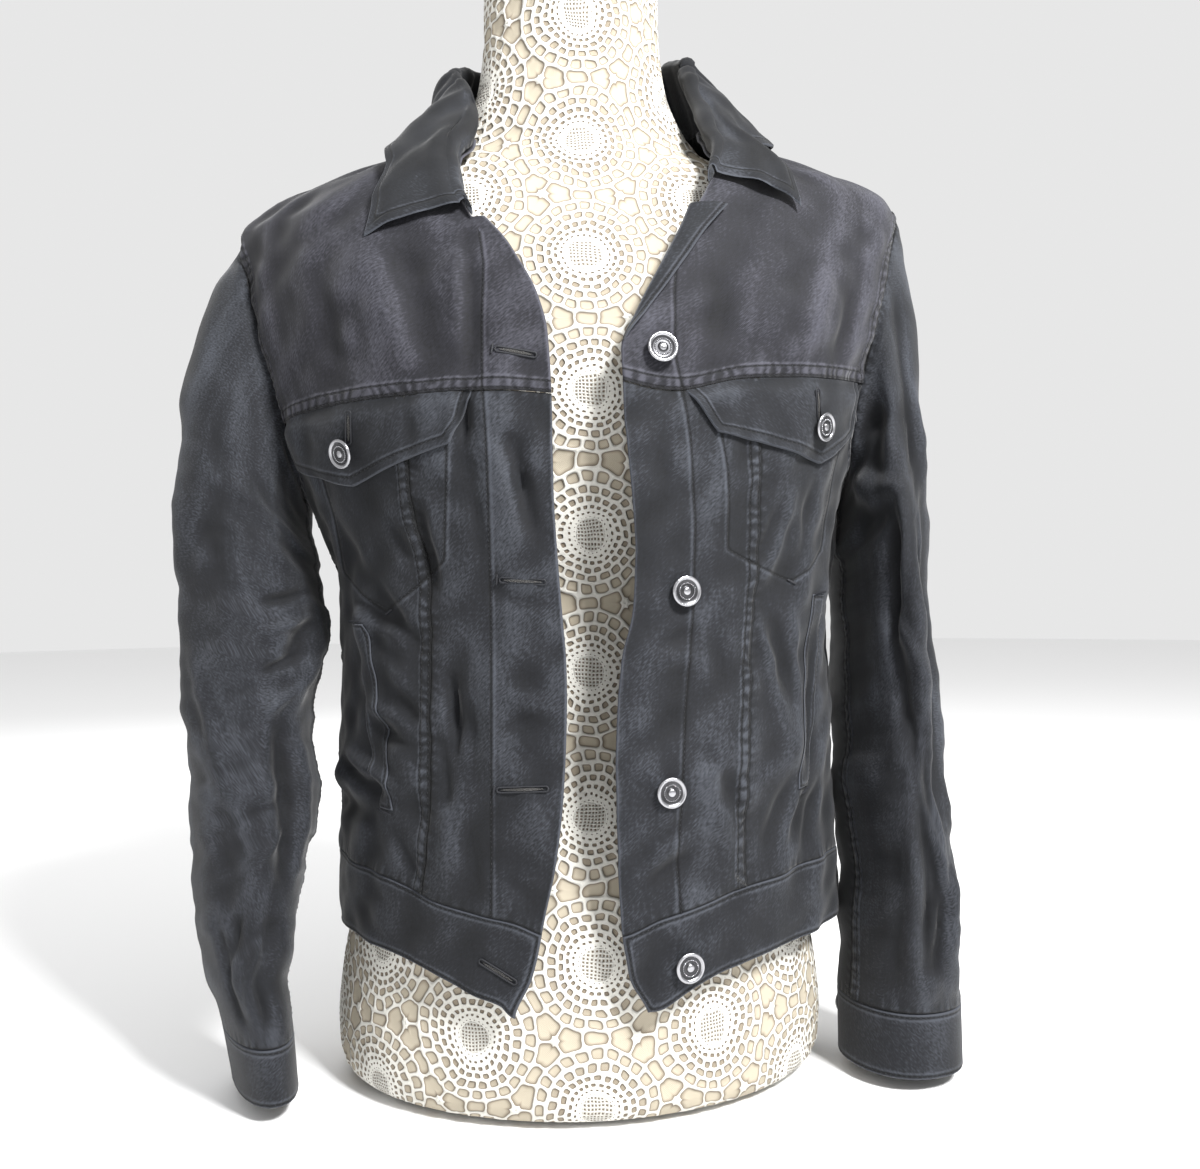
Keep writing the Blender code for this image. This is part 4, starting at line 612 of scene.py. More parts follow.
def shoulder_line(side, behind):
    """Places along the shoulder seam, from the neckline to the armhole. Behind is 1 for the
    back yoke's edge and -1 for the front yoke's."""
    neck = np.array([side * SHOULDER_SEAM_TURN, NECK_Z[side](SHOULDER_SEAM_TURN)])
    arm = np.array(armhole_place(side, SHOULDER_MEETS_ARMHOLE))
    share = np.linspace(0, 1, SHOULDER_STEPS)[:, None]
    return neck * (1 - share) + arm * share + (behind * side * SHOULDER_TURN / 2, 0)


def back_yoke_crossing(side):
    """Place round the armhole where the back yoke's seam meets it."""
    around = np.linspace(0.40, 0.60, 401)
    return around[np.argmin(np.abs(armhole_place(side, around)[1] - BACK_YOKE_SEAM))]

# %% [markdown]
# ## The collar's middle surface
# The collar is one doubled piece. From its seam at the neck it stands up, rolls over a small
# radius and falls to the free edge.

# %% A place in the collar
def collar_middle(around, across):
    """A place in the middle of the collar's cloth: across runs from the neck seam (0) up the
    stand, over the roll and down to the free edge (1)."""
    line = {name: curve(around) for name, curve in COLLAR_LINES.items()}
    turn = -around
    seam_z = neck_z((turn + 0.5) % 1.0 - 0.5)
    normal = body_normal(turn, seam_z)
    seam = body_cloth(turn, seam_z - COLLAR_LAPS_YOKE, LAY_GAP + DOUBLE_CLOTH / 2)
    flat = normal * (1, 1, 0)
    outward = unit(flat)
    top = seam + (0, 0, 1) * line["roll_up"][..., None] - outward * line["roll_in"][..., None]
    edge = body_layer(-line["edge_around"], line["edge_z"], 0.0)
    edge = edge + body_normal(-line["edge_around"], line["edge_z"]) * line["edge_lift"][..., None]
    over = unit((edge - top) * (1, 1, 0))
    start_fall = top + over * 2 * COLLAR_ROLL_RADIUS
    stand, roll = COLLAR_STAND_SHARE, COLLAR_ROLL_SHARE
    up = np.clip(across / stand, 0, 1)[..., None]
    angle = np.clip((across - stand) / (roll - stand), 0, 1)[..., None] * math.pi
    down = np.clip((across - roll) / (1 - roll), 0, 1)[..., None]
    on_stand = seam + (top - seam) * up
    on_roll = (top + over * COLLAR_ROLL_RADIUS * (1 - np.cos(angle))
               + np.array((0, 0, 1)) * COLLAR_ROLL_RADIUS * np.sin(angle))
    bow = np.sin(down * math.pi) * COLLAR_BOW
    on_fall = start_fall * (1 - down) + edge * down + (over * 0.6 + (0, 0, 0.8)) * bow
    here = np.where((across <= stand)[..., None], on_stand, on_roll)
    return np.where((across > roll)[..., None], on_fall, here)

# %% [markdown]
# ## Small creases
# The solids carry only the largest folds. Worn cloth also has short creases: beside the
# placket, round the pocket welts, over the hip and inside the elbows. On the fronts they are
# given by width and height, because that is how they are seen.

# %% Small creases
Crease = namedtuple("Crease", "x_a z_a x_b z_b width height")
FRONT_CREASES = table(Crease, """
-69 406 -70.5 380 3 -4.2, -74 406 -76 382 3.5 1.8, -66 500 -64 415 4 -3, -72 490 -70 430 5 2
-46 383 -35 336 3.4 -3, -52 375 -42 330 4 1.4, -33 390 -30 350 5 1.4
-79 252 -76.5 214 3.4 -4.4, -73 245 -70 200 4.2 2.2, -85 220 -78 175 4 -2.2
-76 190 -82 145 5 2.2, -70 170 -66 135 4 -1.8, -133 295 -108 283 4 -1.8
-133 287 -112 276 4 1.8, -125 235 -100 225 4 2, -124 225 -102 213 3.6 -2
-125 199 -105 185 4 1.8, -143 206 -118 195 4.5 2.6, -144 196 -120 185 3.8 -3
-113 340 -100 315 5 -1.6, -56 300 -30 292 4 -1.2, -52 245 -28 238 5 1.4
-54 225 -30 230 4.5 -1.4, -52 145 -33 135 5 -1.6, -110 160 -100 140 4.5 -1.8
117 354 101 308 4 2, 110 350 96 315 4.5 -1.4, 132 360 124 320 4.5 -1.8, 64 295 72 245 5 -1.4
34 270 56 278 4 -1.4, 30 258 54 264 4.5 1.4, 28 150 52 170 5 1.8, 27 140 54 156 4 -1.8
60 190 78 150 5 1.8, 64 210 84 170 4.5 -1.8, 100 270 112 220 5 2, 107 280 120 235 4.5 -2
118 190 100 156 5 -2.2, 126 183 108 150 5 2.2, 140 180 128 148 4.5 -2.2, 70 475 72 435 6 -1.4
140 490 130 445 7 1.6, 160 470 150 435 6 -2, -150 480 -140 425 7 -1.8, -110 480 -105 430 7 1.4
-128 470 -124 425 6 -1.2, -98 415 -96 370 4 -1.6, -90 350 -80 310 5 2, -96 345 -87 300 4 -2
-118 300 -96 270 4.5 -2, -115 260 -95 235 4.5 1.8, -64 360 -60 310 4 -1.8
-42 205 -28 160 6 1.6, 36 390 40 340 6 -1.2, 86 410 85 360 5 -1.2, 96 285 108 245 3.5 1.6
118 285 124 240 3.5 1.6, 30 210 40 170 3.5 1.4, 52 195 72 202 4 1.4, 134 260 130 200 4 -2
""", MILLIMETRES)
BACK_CREASES = table(Fold, """
.27 .345 .33 .31 .005 -.0022, .275 .33 .335 .29 .005 .0022, .73 .345 .665 .305 .005 -.0022
.725 .328 .67 .285 .005 .002, .29 .23 .34 .19 .006 .0022, .3 .215 .35 .17 .005 -.0022
.715 .235 .67 .18 .006 .002, .7 .215 .655 .165 .005 -.0022, .42 .26 .47 .21 .007 .0018
.56 .27 .52 .2 .006 -.0018, .47 .18 .53 .165 .006 -.0016, .36 .52 .42 .49 .008 -.0016
.64 .52 .58 .488 .008 -.0018, .24 .3 .262 .22 .006 -.0024, .232 .29 .25 .21 .006 .0018""")
SLEEVE_CREASES = {
    RIGHT: table(Fold, """
.84 .3 .96 .345 .0042 -.0026, .835 .345 .95 .385 .0042 .0024, .85 .41 .96 .44 .004 -.0026
.86 .455 .95 .5 .0045 .002, .93 .62 .01 .64 .0045 -.0018, .915 .66 .98 .7 .004 .002
.05 .25 .12 .33 .006 -.0016, .11 .42 .06 .56 .006 .0018, .02 .76 .09 .84 .005 -.002
.97 .8 .04 .88 .0045 .002, .11 .78 .09 .89 .005 -.0018, .45 .35 .57 .4 .005 -.0026
.44 .43 .58 .45 .005 .0026, .43 .48 .56 .53 .005 -.0024, .3 .08 .36 .16 .007 -.0016
.6 .7 .52 .8 .006 -.0022"""),
    LEFT: table(Fold, """
.9 .06 .02 .14 .005 -.0036, .88 .11 .99 .2 .0046 .0034, .06 .12 .11 .26 .006 .0024
.02 .26 .06 .42 .0046 -.003, .94 .36 .01 .46 .005 .0026, .11 .38 .07 .52 .005 -.0026
.16 .42 .17 .62 .006 -.0022, .0 .64 .05 .78 .005 .0028, .05 .72 .0 .86 .0046 -.0028
.1 .76 .14 .89 .005 .0024, .16 .78 .18 .9 .005 -.0022, .45 .33 .57 .38 .005 .0026
.44 .4 .57 .44 .005 -.0028, .42 .47 .55 .52 .005 .0024, .28 .08 .34 .18 .007 -.0018
.6 .68 .54 .82 .006 -.0022, .85 .1 .93 .175 .006 .005, .98 .18 .95 .4 .005 .0026
.955 .2 .925 .42 .0046 -.003, .08 .52 .06 .74 .005 -.0026, .12 .56 .11 .76 .0055 .0024
.975 .62 .965 .86 .0046 -.0024"""),
}
CREASE_DEPTH = 1.7      # creases are deeper in the cloth than in the tables
BODY_CREASES = BACK_CREASES + [
    Fold(float(front_turn(row.x_a, row.z_a)), row.z_a, float(front_turn(row.x_b, row.z_b)),
         row.z_b, row.width, row.height)
    for row in FRONT_CREASES]
print(len(BODY_CREASES), "small creases on the body")

# %% [markdown]
# ## The softness of washed cloth
# Washed denim is never quite flat. A few slow waves of many directions catch the light. A noise
# texture could push the mesh instead, but these are the same on a panel and on the flap over it.

# %% Body and sleeve cloth with everything but its seams
Wave = namedtuple("Wave", "length height")
WAVES = table(Wave, """
.08 .0006, .036 .00042, .017 .00014""")
WAVE_DIRECTIONS = 5


def unevenness(across, up, seed):
    """Height of the slow waves at places measured in metres."""
    draw = np.random.default_rng(seed)
    total = np.zeros_like(across * up)
    for wave in WAVES:
        for _ in range(WAVE_DIRECTIONS):
            lean, phase = draw.uniform(0, math.pi), draw.uniform(0, 2 * math.pi)
            pace = 2 * math.pi / (wave.length * draw.uniform(0.7, 1.4))
            total = total + wave.height * np.sin(
                pace * (across * math.cos(lean) + up * math.sin(lean)) + phase)
    return total


def body_cloth(turn, z, lift=0.0):
    """A place on the body with folds, creases and unevenness, lifted off the outer face."""
    turn, z = matched(turn, z)
    height = (CREASE_DEPTH * fold_height(BODY_CREASES, turn, z, BODY_GIRTH, 1.0)
              + unevenness(turn % 1.0 * BODY_GIRTH, z, 3) + lift)
    return body_layer(turn, z, height)


def sleeve_cloth(side, around, along, lift=0.0):
    around, along = matched(around, along)
    height = CREASE_DEPTH * fold_height(SLEEVE_CREASES[side], around, along,
                                        SLEEVE_GIRTH, SLEEVE_LENGTH)
    height = height + unevenness(np.sin(2 * math.pi * around) * 0.05,
                                 along * SLEEVE_LENGTH + np.cos(2 * math.pi * around) * 0.02,
                                 11 + side)
    return sleeve_layer(side, around, along, height * freedom(along) + lift)


# %% [markdown]
# ## Where the mesh needs to be fine
# A felled seam is a strip 7 mm wide with a row of stitches down each side. A mesh that is fine
# all over would be far too heavy, so its lines crowd together only beside the seams.

# %% Spacing the mesh's lines
CLOTH_STEP = 0.0027
BESIDE_SEAM = np.array((0.0, 0.0006, 0.0014, 0.0026, 0.0042, 0.0058, 0.0070, 0.0082, 0.0104))
SHOULDER_STEPS = 60
SURE_STEPS = 200         # enough to follow any border before it is spaced again


def spaced(length, near_start=True, near_end=True, step=CLOTH_STEP):
    """Shares from 0 to 1 along a length, closer together beside a sewn end."""
    start = BESIDE_SEAM if near_start else BESIDE_SEAM[:1]
    end = BESIDE_SEAM if near_end else BESIDE_SEAM[:1]
    room = length - start[-1] - end[-1]
    if room < step:
        return np.linspace(0, 1, max(3, round(length / (step / 2)) + 1))
    middle = np.linspace(start[-1], length - end[-1], max(2, round(room / step) + 1))
    return np.concatenate([start, middle[1:-1], length - end[::-1]]) / length


def running(steps):
    """Distance run at each place of a line, from the steps between them."""
    return np.concatenate([[0], np.cumsum(steps)])


def shares_of(path):
    """How far along a path each of its places is, and the path's length in metres."""
    run = running(np.linalg.norm(np.diff(path * (BODY_GIRTH, 1.0), axis=0), axis=1))
    return run / run[-1], run[-1]


def walk(path, shares):
    """Places at these shares of a path's length; a path is rows of (turn, z)."""
    known = shares_of(path)[0]
    return np.stack([np.interp(shares, known, path[:, i]) for i in (0, 1)], axis=-1)


def lay_out(*paths):
    """One row of places along paths end to end, with a place on every corner."""
    rows = []
    for i, path in enumerate(paths):
        shares = spaced(shares_of(path)[1], i == 0, i == len(paths) - 1)
        rows.append(walk(path, shares)[1 if i else 0:])
    return np.concatenate(rows)


# %% [markdown]
# ## Seams and edges
# Each border of a piece is felled (the strip lies on this piece), under (it goes beneath its
# neighbour), hem (a stitched edge) or edge (a folded edge without stitches). A border lifts and
# puckers the mesh beside it, and leaves its distances on the mesh for the material to use.

# %% What a border does to the cloth beside it
STRIP_WIDTH = 0.0073
STRIP_HEIGHT = 0.0006
ROWS_OF_FELLED = (0.0012, 0.0064)
PUCKER = 0.00042
PUCKER_LENGTH = 0.0070
FAR = 0.02               # beyond this a border has no effect
Border = namedtuple("Border", "name kind where", defaults=(True,))
ALL_HEM = "first hem, last hem, low hem, high hem"


def smooth_step(value):
    value = np.clip(value, 0, 1)
    return value * value * (3 - 2 * value)


def pucker_wave(along, seed):
    """The uneven ladder of puckers that a shrunk seam pulls up."""
    stray = 1.9 * np.sin(2 * math.pi * along / 0.041 + seed) + 0.9 * np.sin(along / 0.0029 + seed)
    strength = 0.7 + 0.3 * np.sin(2 * math.pi * along / 0.063 + 2 * seed)
    return np.sin(2 * math.pi * along / PUCKER_LENGTH + stray) * strength


def border_relief(kind, away, along, seed):
    at_rim = np.clip(away / 0.001, 0, 1)
    wave = pucker_wave(along, seed)
    if kind == "felled":
        strip = STRIP_HEIGHT * smooth_step((STRIP_WIDTH + 0.0010 - away) / 0.0020)
        return strip + PUCKER * wave * np.exp(-((away - 0.0038) / 0.0040) ** 2)
    if kind == "under":
        return 0.6 * PUCKER * wave * at_rim * np.exp(-(away / 0.0060) ** 2)
    if kind == "hem":
        return 0.35 * PUCKER * wave * at_rim * np.exp(-(away / 0.0060) ** 2)
    return np.zeros_like(away * along)


# %% [markdown]
# ## Lines sewn across a panel
# The pockets and the plackets show on the fronts only as rows of stitches. Each is a line of a
# few places, and the cloth knows how far it is from the nearest one.

# %% Pocket outlines and placket lines
SewnPlace = namedtuple("SewnPlace", "x z")
POCKET_LINE = {
    RIGHT: table(SewnPlace, """
-78.4 384, -79.9 348, -80.9 317, -95 304, -115.7 289, -129 298, -143 312, -147 345, -154 374
""", MILLIMETRES),
    LEFT: table(SewnPlace, """
71.1 388, 75.2 366, 76.3 344.5, 76.2 322, 95 312.5, 117.2 304, 130.2 311, 141.7 323, 148 350
156 391""", MILLIMETRES),
}
PLACKET_LINE = {
    RIGHT: table(SewnPlace, """
-60.1 499, -58 480, -59.4 444.5, -59.2 412, -57.4 377, -56.3 330, -55.8 274, -57.4 121
""", MILLIMETRES),
    LEFT: table(SewnPlace, """
50 490, 46.6 462, 45.4 428, 50.5 401, 53.7 381, 56.3 333, 55.3 291, 50.1 232.5, 47.9 202
44.5 154, 45.8 121""", MILLIMETRES),
}


def signed_distance(places_x, places_z, line):
    """Distance in metres to a line seen from the front, with a side for its sign."""
    best = np.full(places_x.shape, FAR)
    for a, b in zip(line, line[1:]):
        run_x, run_z = b.x - a.x, b.z - a.z
        share = ((places_x - a.x) * run_x + (places_z - a.z) * run_z) / (run_x ** 2 + run_z ** 2)
        share = np.clip(share, 0, 1)
        off_x, off_z = places_x - a.x - share * run_x, places_z - a.z - share * run_z
        away = np.hypot(off_x, off_z) * np.sign(off_x * run_z - off_z * run_x)
        best = np.where(np.abs(away) < np.abs(best), away, best)
    return best


def sewn_distance(points):
    """Distance to the nearest pocket or placket line; fronts only."""
    best = np.full(points.shape[:-1], FAR)
    for side in (RIGHT, LEFT):
        for line in (PLACKET_LINE[side], POCKET_LINE[side]):
            away = signed_distance(points[..., 0], points[..., 2], line) * side
            best = np.where(np.abs(away) < np.abs(best), away, best)
    return np.where(points[..., 1] < 0, best, FAR)


# %% [markdown]
# ## A piece of cloth
# Every piece is a closed wall: an outer face, an inner face and a rim. It keeps its grid, so
# that stitches can be laid along its borders later.

# %% Make one wall of cloth
Piece = namedtuple("Piece", "obj outer outside away flat area kinds hem_row")
PIECES = {}
jacket_parts = bpy.data.collections.new("jacket")
bpy.context.scene.collection.children.link(jacket_parts)


def lengths(points, axis):
    """Distance run along one direction of a grid, from 0 at its start."""
    steps = np.linalg.norm(np.diff(points, axis=axis), axis=-1)
    start = np.zeros_like(np.take(steps, [0], axis=axis))
    return np.concatenate([start, np.cumsum(steps, axis=axis)], axis=axis)


def measure(points):
    """For each border, how far every place is from it and how far along it."""
    across, up = lengths(points, 1), lengths(points, 0)
    away = {"first": across, "last": across[:, -1:] - across, "low": up, "high": up[-1:] - up}
    along = {"first": up, "last": up, "low": across, "high": across}
    return away, along


def wall_mesh(name, outer, inner):
    """The mesh of a closed wall between two grids of places that match."""
    rows, cols = outer.shape[:2]
    index = np.arange(rows * cols).reshape(rows, cols)
    quads = np.stack([index[:-1, :-1], index[:-1, 1:], index[1:, 1:], index[1:, :-1]], -1)
    quads = quads.reshape(-1, 4)
    back = quads[:, ::-1] + rows * cols
    rim = np.concatenate([index[0, :-1], index[:-1, -1], index[-1, :0:-1], index[:0:-1, 0]])
    turned = np.roll(rim, -1)
    sides = np.stack([turned, rim, rim + rows * cols, turned + rows * cols], -1)
    faces = np.concatenate([quads, back, sides])
    verts = np.concatenate([outer.reshape(-1, 3), inner.reshape(-1, 3)])
    a, b, c, d = (verts[faces[:, i]] for i in range(4))
    volume = (a * (np.cross(b, c) + np.cross(c, d))).sum()
    if volume < 0:
        faces = faces[:, ::-1]
    mesh = bpy.data.meshes.new(name)
    mesh.from_pydata(verts, [], faces)
    mesh.shade_smooth()
    mesh.set_sharp_from_angle(angle=math.radians(70))
    return mesh


def give_values(mesh, across, up, values):
    """The cloth's own measure as a UV map, and distances for the material as attributes."""
    uv = mesh.uv_layers.new(name="cloth")
    corner = np.empty(len(mesh.loops), int)
    mesh.loops.foreach_get("vertex_index", corner)
    flat = np.stack([across.ravel(), up.ravel()], -1)
    uv.data.foreach_set("uv", np.concatenate([flat, flat])[corner].ravel())
    for name, value in values.items():
        layer = mesh.attributes.new(name, "FLOAT", "POINT")
        layer.data.foreach_set("value", np.tile(value.ravel(), 2).astype(np.float32))


def nearest(kinds, wanted, away, along):
    """Distance to the nearest border of the wanted kinds, and the place along it."""
    shape = away["low"].shape
    best, best_along = np.full(shape, FAR), np.zeros(shape)
    for border, kind, where in kinds:
        if kind in wanted:
            here = np.where(where, away[border], FAR)
            best_along = np.where(here < best, along[border], best_along)
            best = np.minimum(best, here)
    return best, best_along


HOLLOW_SPAN = 7          # mesh lines over which a place is compared with its surroundings


def hollowness(points, outside):
    """How far each place stands above the cloth around it, in millimetres."""
    around = points
    for axis in (0, 1):
        pad = [(0, 0)] * 3
        pad[axis] = (HOLLOW_SPAN, HOLLOW_SPAN)
        wide = np.pad(around, pad, mode="reflect", reflect_type="odd")
        run = np.cumsum(np.concatenate([np.zeros_like(wide.take([0], axis)), wide], axis), axis)
        span = 2 * HOLLOW_SPAN + 1
        count = points.shape[axis]
        around = (run.take(range(span, span + count), axis) - run.take(range(count), axis)) / span
    return ((points - around) * outside).sum(-1) * 1000


EDGE_THICKNESS = 0.06    # share of the thickness that is left at a rounded edge


def make_cloth(node, surface, inside, borders, seed, thickness=CLOTH, hem_row=0.0, grain=None,
               masked=()):
    """A piece of cloth. surface(lift) gives its places and inside the way through it. Borders
    are named with their kinds; masked adds those that hold on a part of their length. Grain is
    the cloth's own measure across and up, where it isn't the piece's."""
    name, kinds = "cloth_" + node, table(Border, borders) + list(masked)
    plain = surface(0.0)
    away, along = measure(plain)
    relief = np.zeros(plain.shape[:2])
    for i, (border, kind, where) in enumerate(kinds):
        relief = relief + np.where(where, border_relief(kind, away[border], along[border],
                                                        seed + i), 0.0)
    rim = nearest(kinds, ("hem", "edge"), away, along)[0]
    half = thickness / 2
    round_over = np.sqrt(1 - np.clip(1 - rim / half, 0, 1) ** 2)
    outer = surface(relief - half * (1 - round_over))
    full = EDGE_THICKNESS + (1 - EDGE_THICKNESS) * round_over
    inner = outer + inside * (thickness * full)[..., None]
    mesh = wall_mesh(name, outer, inner)
    felled, felled_along = nearest(kinds, ("felled",), away, along)
    under, under_along = nearest(kinds, ("under",), away, along)
    hem = nearest(kinds, ("hem",), away, along)[0]
    first_row, second_row = ROWS_OF_FELLED
    middle = (first_row + second_row) / 2
    row = np.where(felled < middle, first_row - felled, felled - second_row)
    hem_distance = hem - hem_row if hem_row else np.full_like(hem, FAR)
    row = np.where(np.abs(hem_distance) < np.abs(row), hem_distance, row)
    seam = np.minimum(felled, under)
    sewn = sewn_distance(plain) if node.startswith("front_") else np.full_like(rim, FAR)
    across, up = grain if grain is not None else (along["low"], along["first"])
    give_values(mesh, across, up, {
        "felled": felled, "rim": rim, "row": row, "under": under,
        "along": np.where(felled <= under, felled_along, under_along) + seed * 0.37,
        "sewn": sewn, "sewn_away": np.abs(sewn),
        "relief": relief * 1000 * (seam < 0.012),
        # raised: the denim paints light on ridges and paints shade in hollows from this measure
        "raised": hollowness(outer, -inside),
    })
    obj = bpy.data.objects.new(name, mesh)
    jacket_parts.objects.link(obj)
    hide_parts(node)
    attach(obj, "root")
    width = float(along["low"][:, -1].mean())
    length = float(along["first"][-1].mean())
    tall = np.maximum(np.diff(along["first"], axis=0), 0)[:, :-1]
    wide = np.maximum(np.diff(along["low"], axis=1), 0)[:-1]
    area = float((tall * wide).sum())
    PIECES[node] = Piece(obj, outer, -inside, away, (width, length), area, kinds, hem_row)
    return obj


def normals_of(points):
    """Directions square to a grid of places."""
    return unit(np.cross(np.gradient(points, axis=1), np.gradient(points, axis=0)))


print("hemmed all round:", ALL_HEM)

# %% [markdown]
# ## Cutting the fronts
# Each front has a centre panel with the placket, a side panel under the armhole and a yoke. The
# panels hang from a top line down to the waistband. On the wearer's right the felled strip lies
# on the side panel and on the left it lies on the centre panel, as both are felled one way.

# %% Lay out a hanging panel
def body_piece(node, turn, z, borders, seed, **more):
    obj = make_cloth(node, lambda lift: body_cloth(turn, z, lift), inward(turn, z), borders, seed,
                     grain=(turn * BODY_GIRTH, z), **more)
    print(obj.name, turn.shape, "places")
    return obj


def hang(first_line, last_line, top, low_ends, low_level):
    """A panel's places: it hangs from its top line of (turn, z) down to a low line."""
    share = shares_of(top)[0]
    low_turn = low_ends[0] + (low_ends[1] - low_ends[0]) * share
    low_z = low_level(low_turn) + SEAM_GAP
    up = spaced(float((top[:, 1] - low_z).mean()))[:, None]
    z = low_z * (1 - up) + top[None, :, 1] * up
    first, last = first_line(z), last_line(z)
    top_share = (top[:, 0] - first[-1]) / (last[-1] - first[-1])
    share = share * (1 - up) + top_share * up
    return first * (1 - share) + last * share, z


def follow(line, side, shift=0.0):
    """A long line of a front as the turn at each height."""
    return lambda z: front_turn(line[side](z), z) + shift


# %% Front centre and side panels
for side in (RIGHT, LEFT):
    level = yoke_level(side)
    edge, seam = crossing(EDGE_X[side], level), crossing(SEAM_X[side], level)
    low_edge, low_seam = crossing(EDGE_X[side], band_top), crossing(SEAM_X[side], band_top)
    strip_on_side = side == RIGHT
    top_turn = np.linspace(edge, seam - side * SEAM_TURN / 2, SURE_STEPS)
    top = lay_out(places(top_turn, level(top_turn) - SEAM_GAP))
    turn, z = hang(follow(EDGE_X, side), follow(SEAM_X, side, -side * SEAM_TURN / 2), top,
                   (low_edge, low_seam), band_top)
    body_piece("front_centre_" + WORD[side], turn, z, "first edge, last "
               + ("under" if strip_on_side else "felled") + ", low under, high under", 2 + side)

    run = armhole_run(side, YOKE_MEETS_ARMHOLE[side], SIDE_MEETS_ARMHOLE - 1, SURE_STEPS)
    run[0, 1] -= SEAM_GAP
    side_turn = ARMHOLE[side].turn - side * SEAM_TURN / 2
    run[-1, 0] = side_turn
    head_turn = np.linspace(seam + side * SEAM_TURN / 2, run[0, 0], SURE_STEPS)
    head = places(head_turn, level(head_turn) - SEAM_GAP)
    top = lay_out(head, run)
    on_head = shares_of(top)[0] <= shares_of(head)[1] / (shares_of(head)[1] + shares_of(run)[1])
    turn, z = hang(follow(SEAM_X, side, side * SEAM_TURN / 2),
                   lambda z: side_turn + 0.0 * z, top, (low_seam, ARMHOLE[side].turn), band_top)
    body_piece("front_side_" + WORD[side], turn, z, "first "
               + ("felled" if strip_on_side else "under") + ", last under, low under", 5 + side,
               masked=[Border("high", "under", on_head), Border("high", "felled", ~on_head)])

# %% Front yokes
for side in (RIGHT, LEFT):
    level = yoke_level(side)
    low_turn = np.linspace(crossing(EDGE_X[side], level),
                           float(armhole_place(side, YOKE_MEETS_ARMHOLE[side])[0]), SURE_STEPS)
    low = lay_out(places(low_turn, level(low_turn)))
    edge_z = np.linspace(low[0, 1], NECKLINE[side][0].z, SURE_STEPS)
    edge_path = places(front_turn(EDGE_X[side](edge_z), edge_z), edge_z)
    neck_turn = np.linspace(abs(edge_path[-1, 0]), SHOULDER_SEAM_TURN, SURE_STEPS)
    high = walk(shoulder_line(side, -1), shares_of(low)[0])
    neck_path = places(side * neck_turn, NECK_Z[side](neck_turn))
    neck_path[-1] = high[0]
    front_end = lay_out(edge_path, neck_path)
    arm_path = armhole_run(side, YOKE_MEETS_ARMHOLE[side], SHOULDER_MEETS_ARMHOLE, SURE_STEPS)
    arm_path[-1] = high[-1]
    outer_end = walk(arm_path, shares_of(front_end)[0])
    turn, z = blend_patch(low, high, front_end, outer_end)
    body_piece("front_yoke_" + WORD[side], turn, z,
               "low felled, high under, last felled, first edge", 8 + side)

# %% [markdown]
# ## Cutting the back
# The back has a centre panel, two side panels and one yoke over both shoulders.

# %% Back panels
for side in (RIGHT, LEFT):
    run = armhole_run(side, SIDE_MEETS_ARMHOLE, back_yoke_crossing(side), SURE_STEPS)
    side_turn = ARMHOLE[side].turn + side * SEAM_TURN / 2
    run[0, 0], run[-1, 1] = side_turn, BACK_YOKE_SEAM - SEAM_GAP
    seam = float(back_turn(side * BACK_SEAM_X(BACK_YOKE_SEAM), BACK_YOKE_SEAM))
    head_turn = np.linspace(run[-1, 0], seam - side * SEAM_TURN / 2, SURE_STEPS)
    head = places(head_turn, BACK_YOKE_SEAM - SEAM_GAP)
    top = lay_out(run, head)
    on_run = shares_of(top)[0] <= shares_of(run)[1] / (shares_of(run)[1] + shares_of(head)[1])
    low_seam = float(back_turn(side * BACK_SEAM_X(BAND_BACK_TOP), BAND_BACK_TOP))
    turn, z = hang(lambda z: side_turn + 0.0 * z,
                   lambda z: back_turn(side * BACK_SEAM_X(z), z) - side * SEAM_TURN / 2, top,
                   (ARMHOLE[side].turn, low_seam), band_top)
    body_piece("back_side_" + WORD[side], turn, z, "first felled, last under, low under",
               11 + side,
               masked=[Border("high", "felled", on_run), Border("high", "under", ~on_run)])

low_z = BAND_BACK_TOP + SEAM_GAP
up = spaced(BACK_YOKE_SEAM - low_z)[:, None]
z = low_z + (BACK_YOKE_SEAM - SEAM_GAP - low_z) * up
left_line = back_turn(BACK_SEAM_X(z), z) + SEAM_TURN / 2
right_line = back_turn(-BACK_SEAM_X(z), z) + 1 - SEAM_TURN / 2
across = spaced(2 * BACK_SEAM[1].x)[None]
turn = left_line * (1 - across) + right_line * across
body_piece("back_centre", turn, z + 0.0 * turn,
           "first felled, last felled, low under, high under", 14)

# %% The back yoke
arm_ends = {}
for side in (LEFT, RIGHT):
    path = armhole_run(side, back_yoke_crossing(side), SHOULDER_MEETS_ARMHOLE, SURE_STEPS)
    path[0, 1] = BACK_YOKE_SEAM
    path[-1] = shoulder_line(side, 1)[-1]
    arm_ends[side] = path + ((1, 0) if side == RIGHT else (0, 0))
left_shoulder = shoulder_line(LEFT, 1)[::-1]
right_shoulder = shoulder_line(RIGHT, 1) + (1, 0)
neck_turn = np.linspace(left_shoulder[-1, 0], right_shoulder[0, 0], SURE_STEPS)
neck = places(neck_turn, neck_z((neck_turn + 0.5) % 1.0 - 0.5))
neck[0], neck[-1] = left_shoulder[-1], right_shoulder[0]
high = lay_out(left_shoulder, neck, right_shoulder)
at_neck = (high[:, 0] > left_shoulder[-1, 0]) & (high[:, 0] < right_shoulder[0, 0])
low_turn = np.linspace(arm_ends[LEFT][0, 0], arm_ends[RIGHT][0, 0], SURE_STEPS)
low = walk(places(low_turn, BACK_YOKE_SEAM), shares_of(high)[0])
end_shares = spaced(shares_of(arm_ends[LEFT])[1])
turn, z = blend_patch(low, high, *(walk(arm_ends[side], end_shares) for side in (LEFT, RIGHT)))
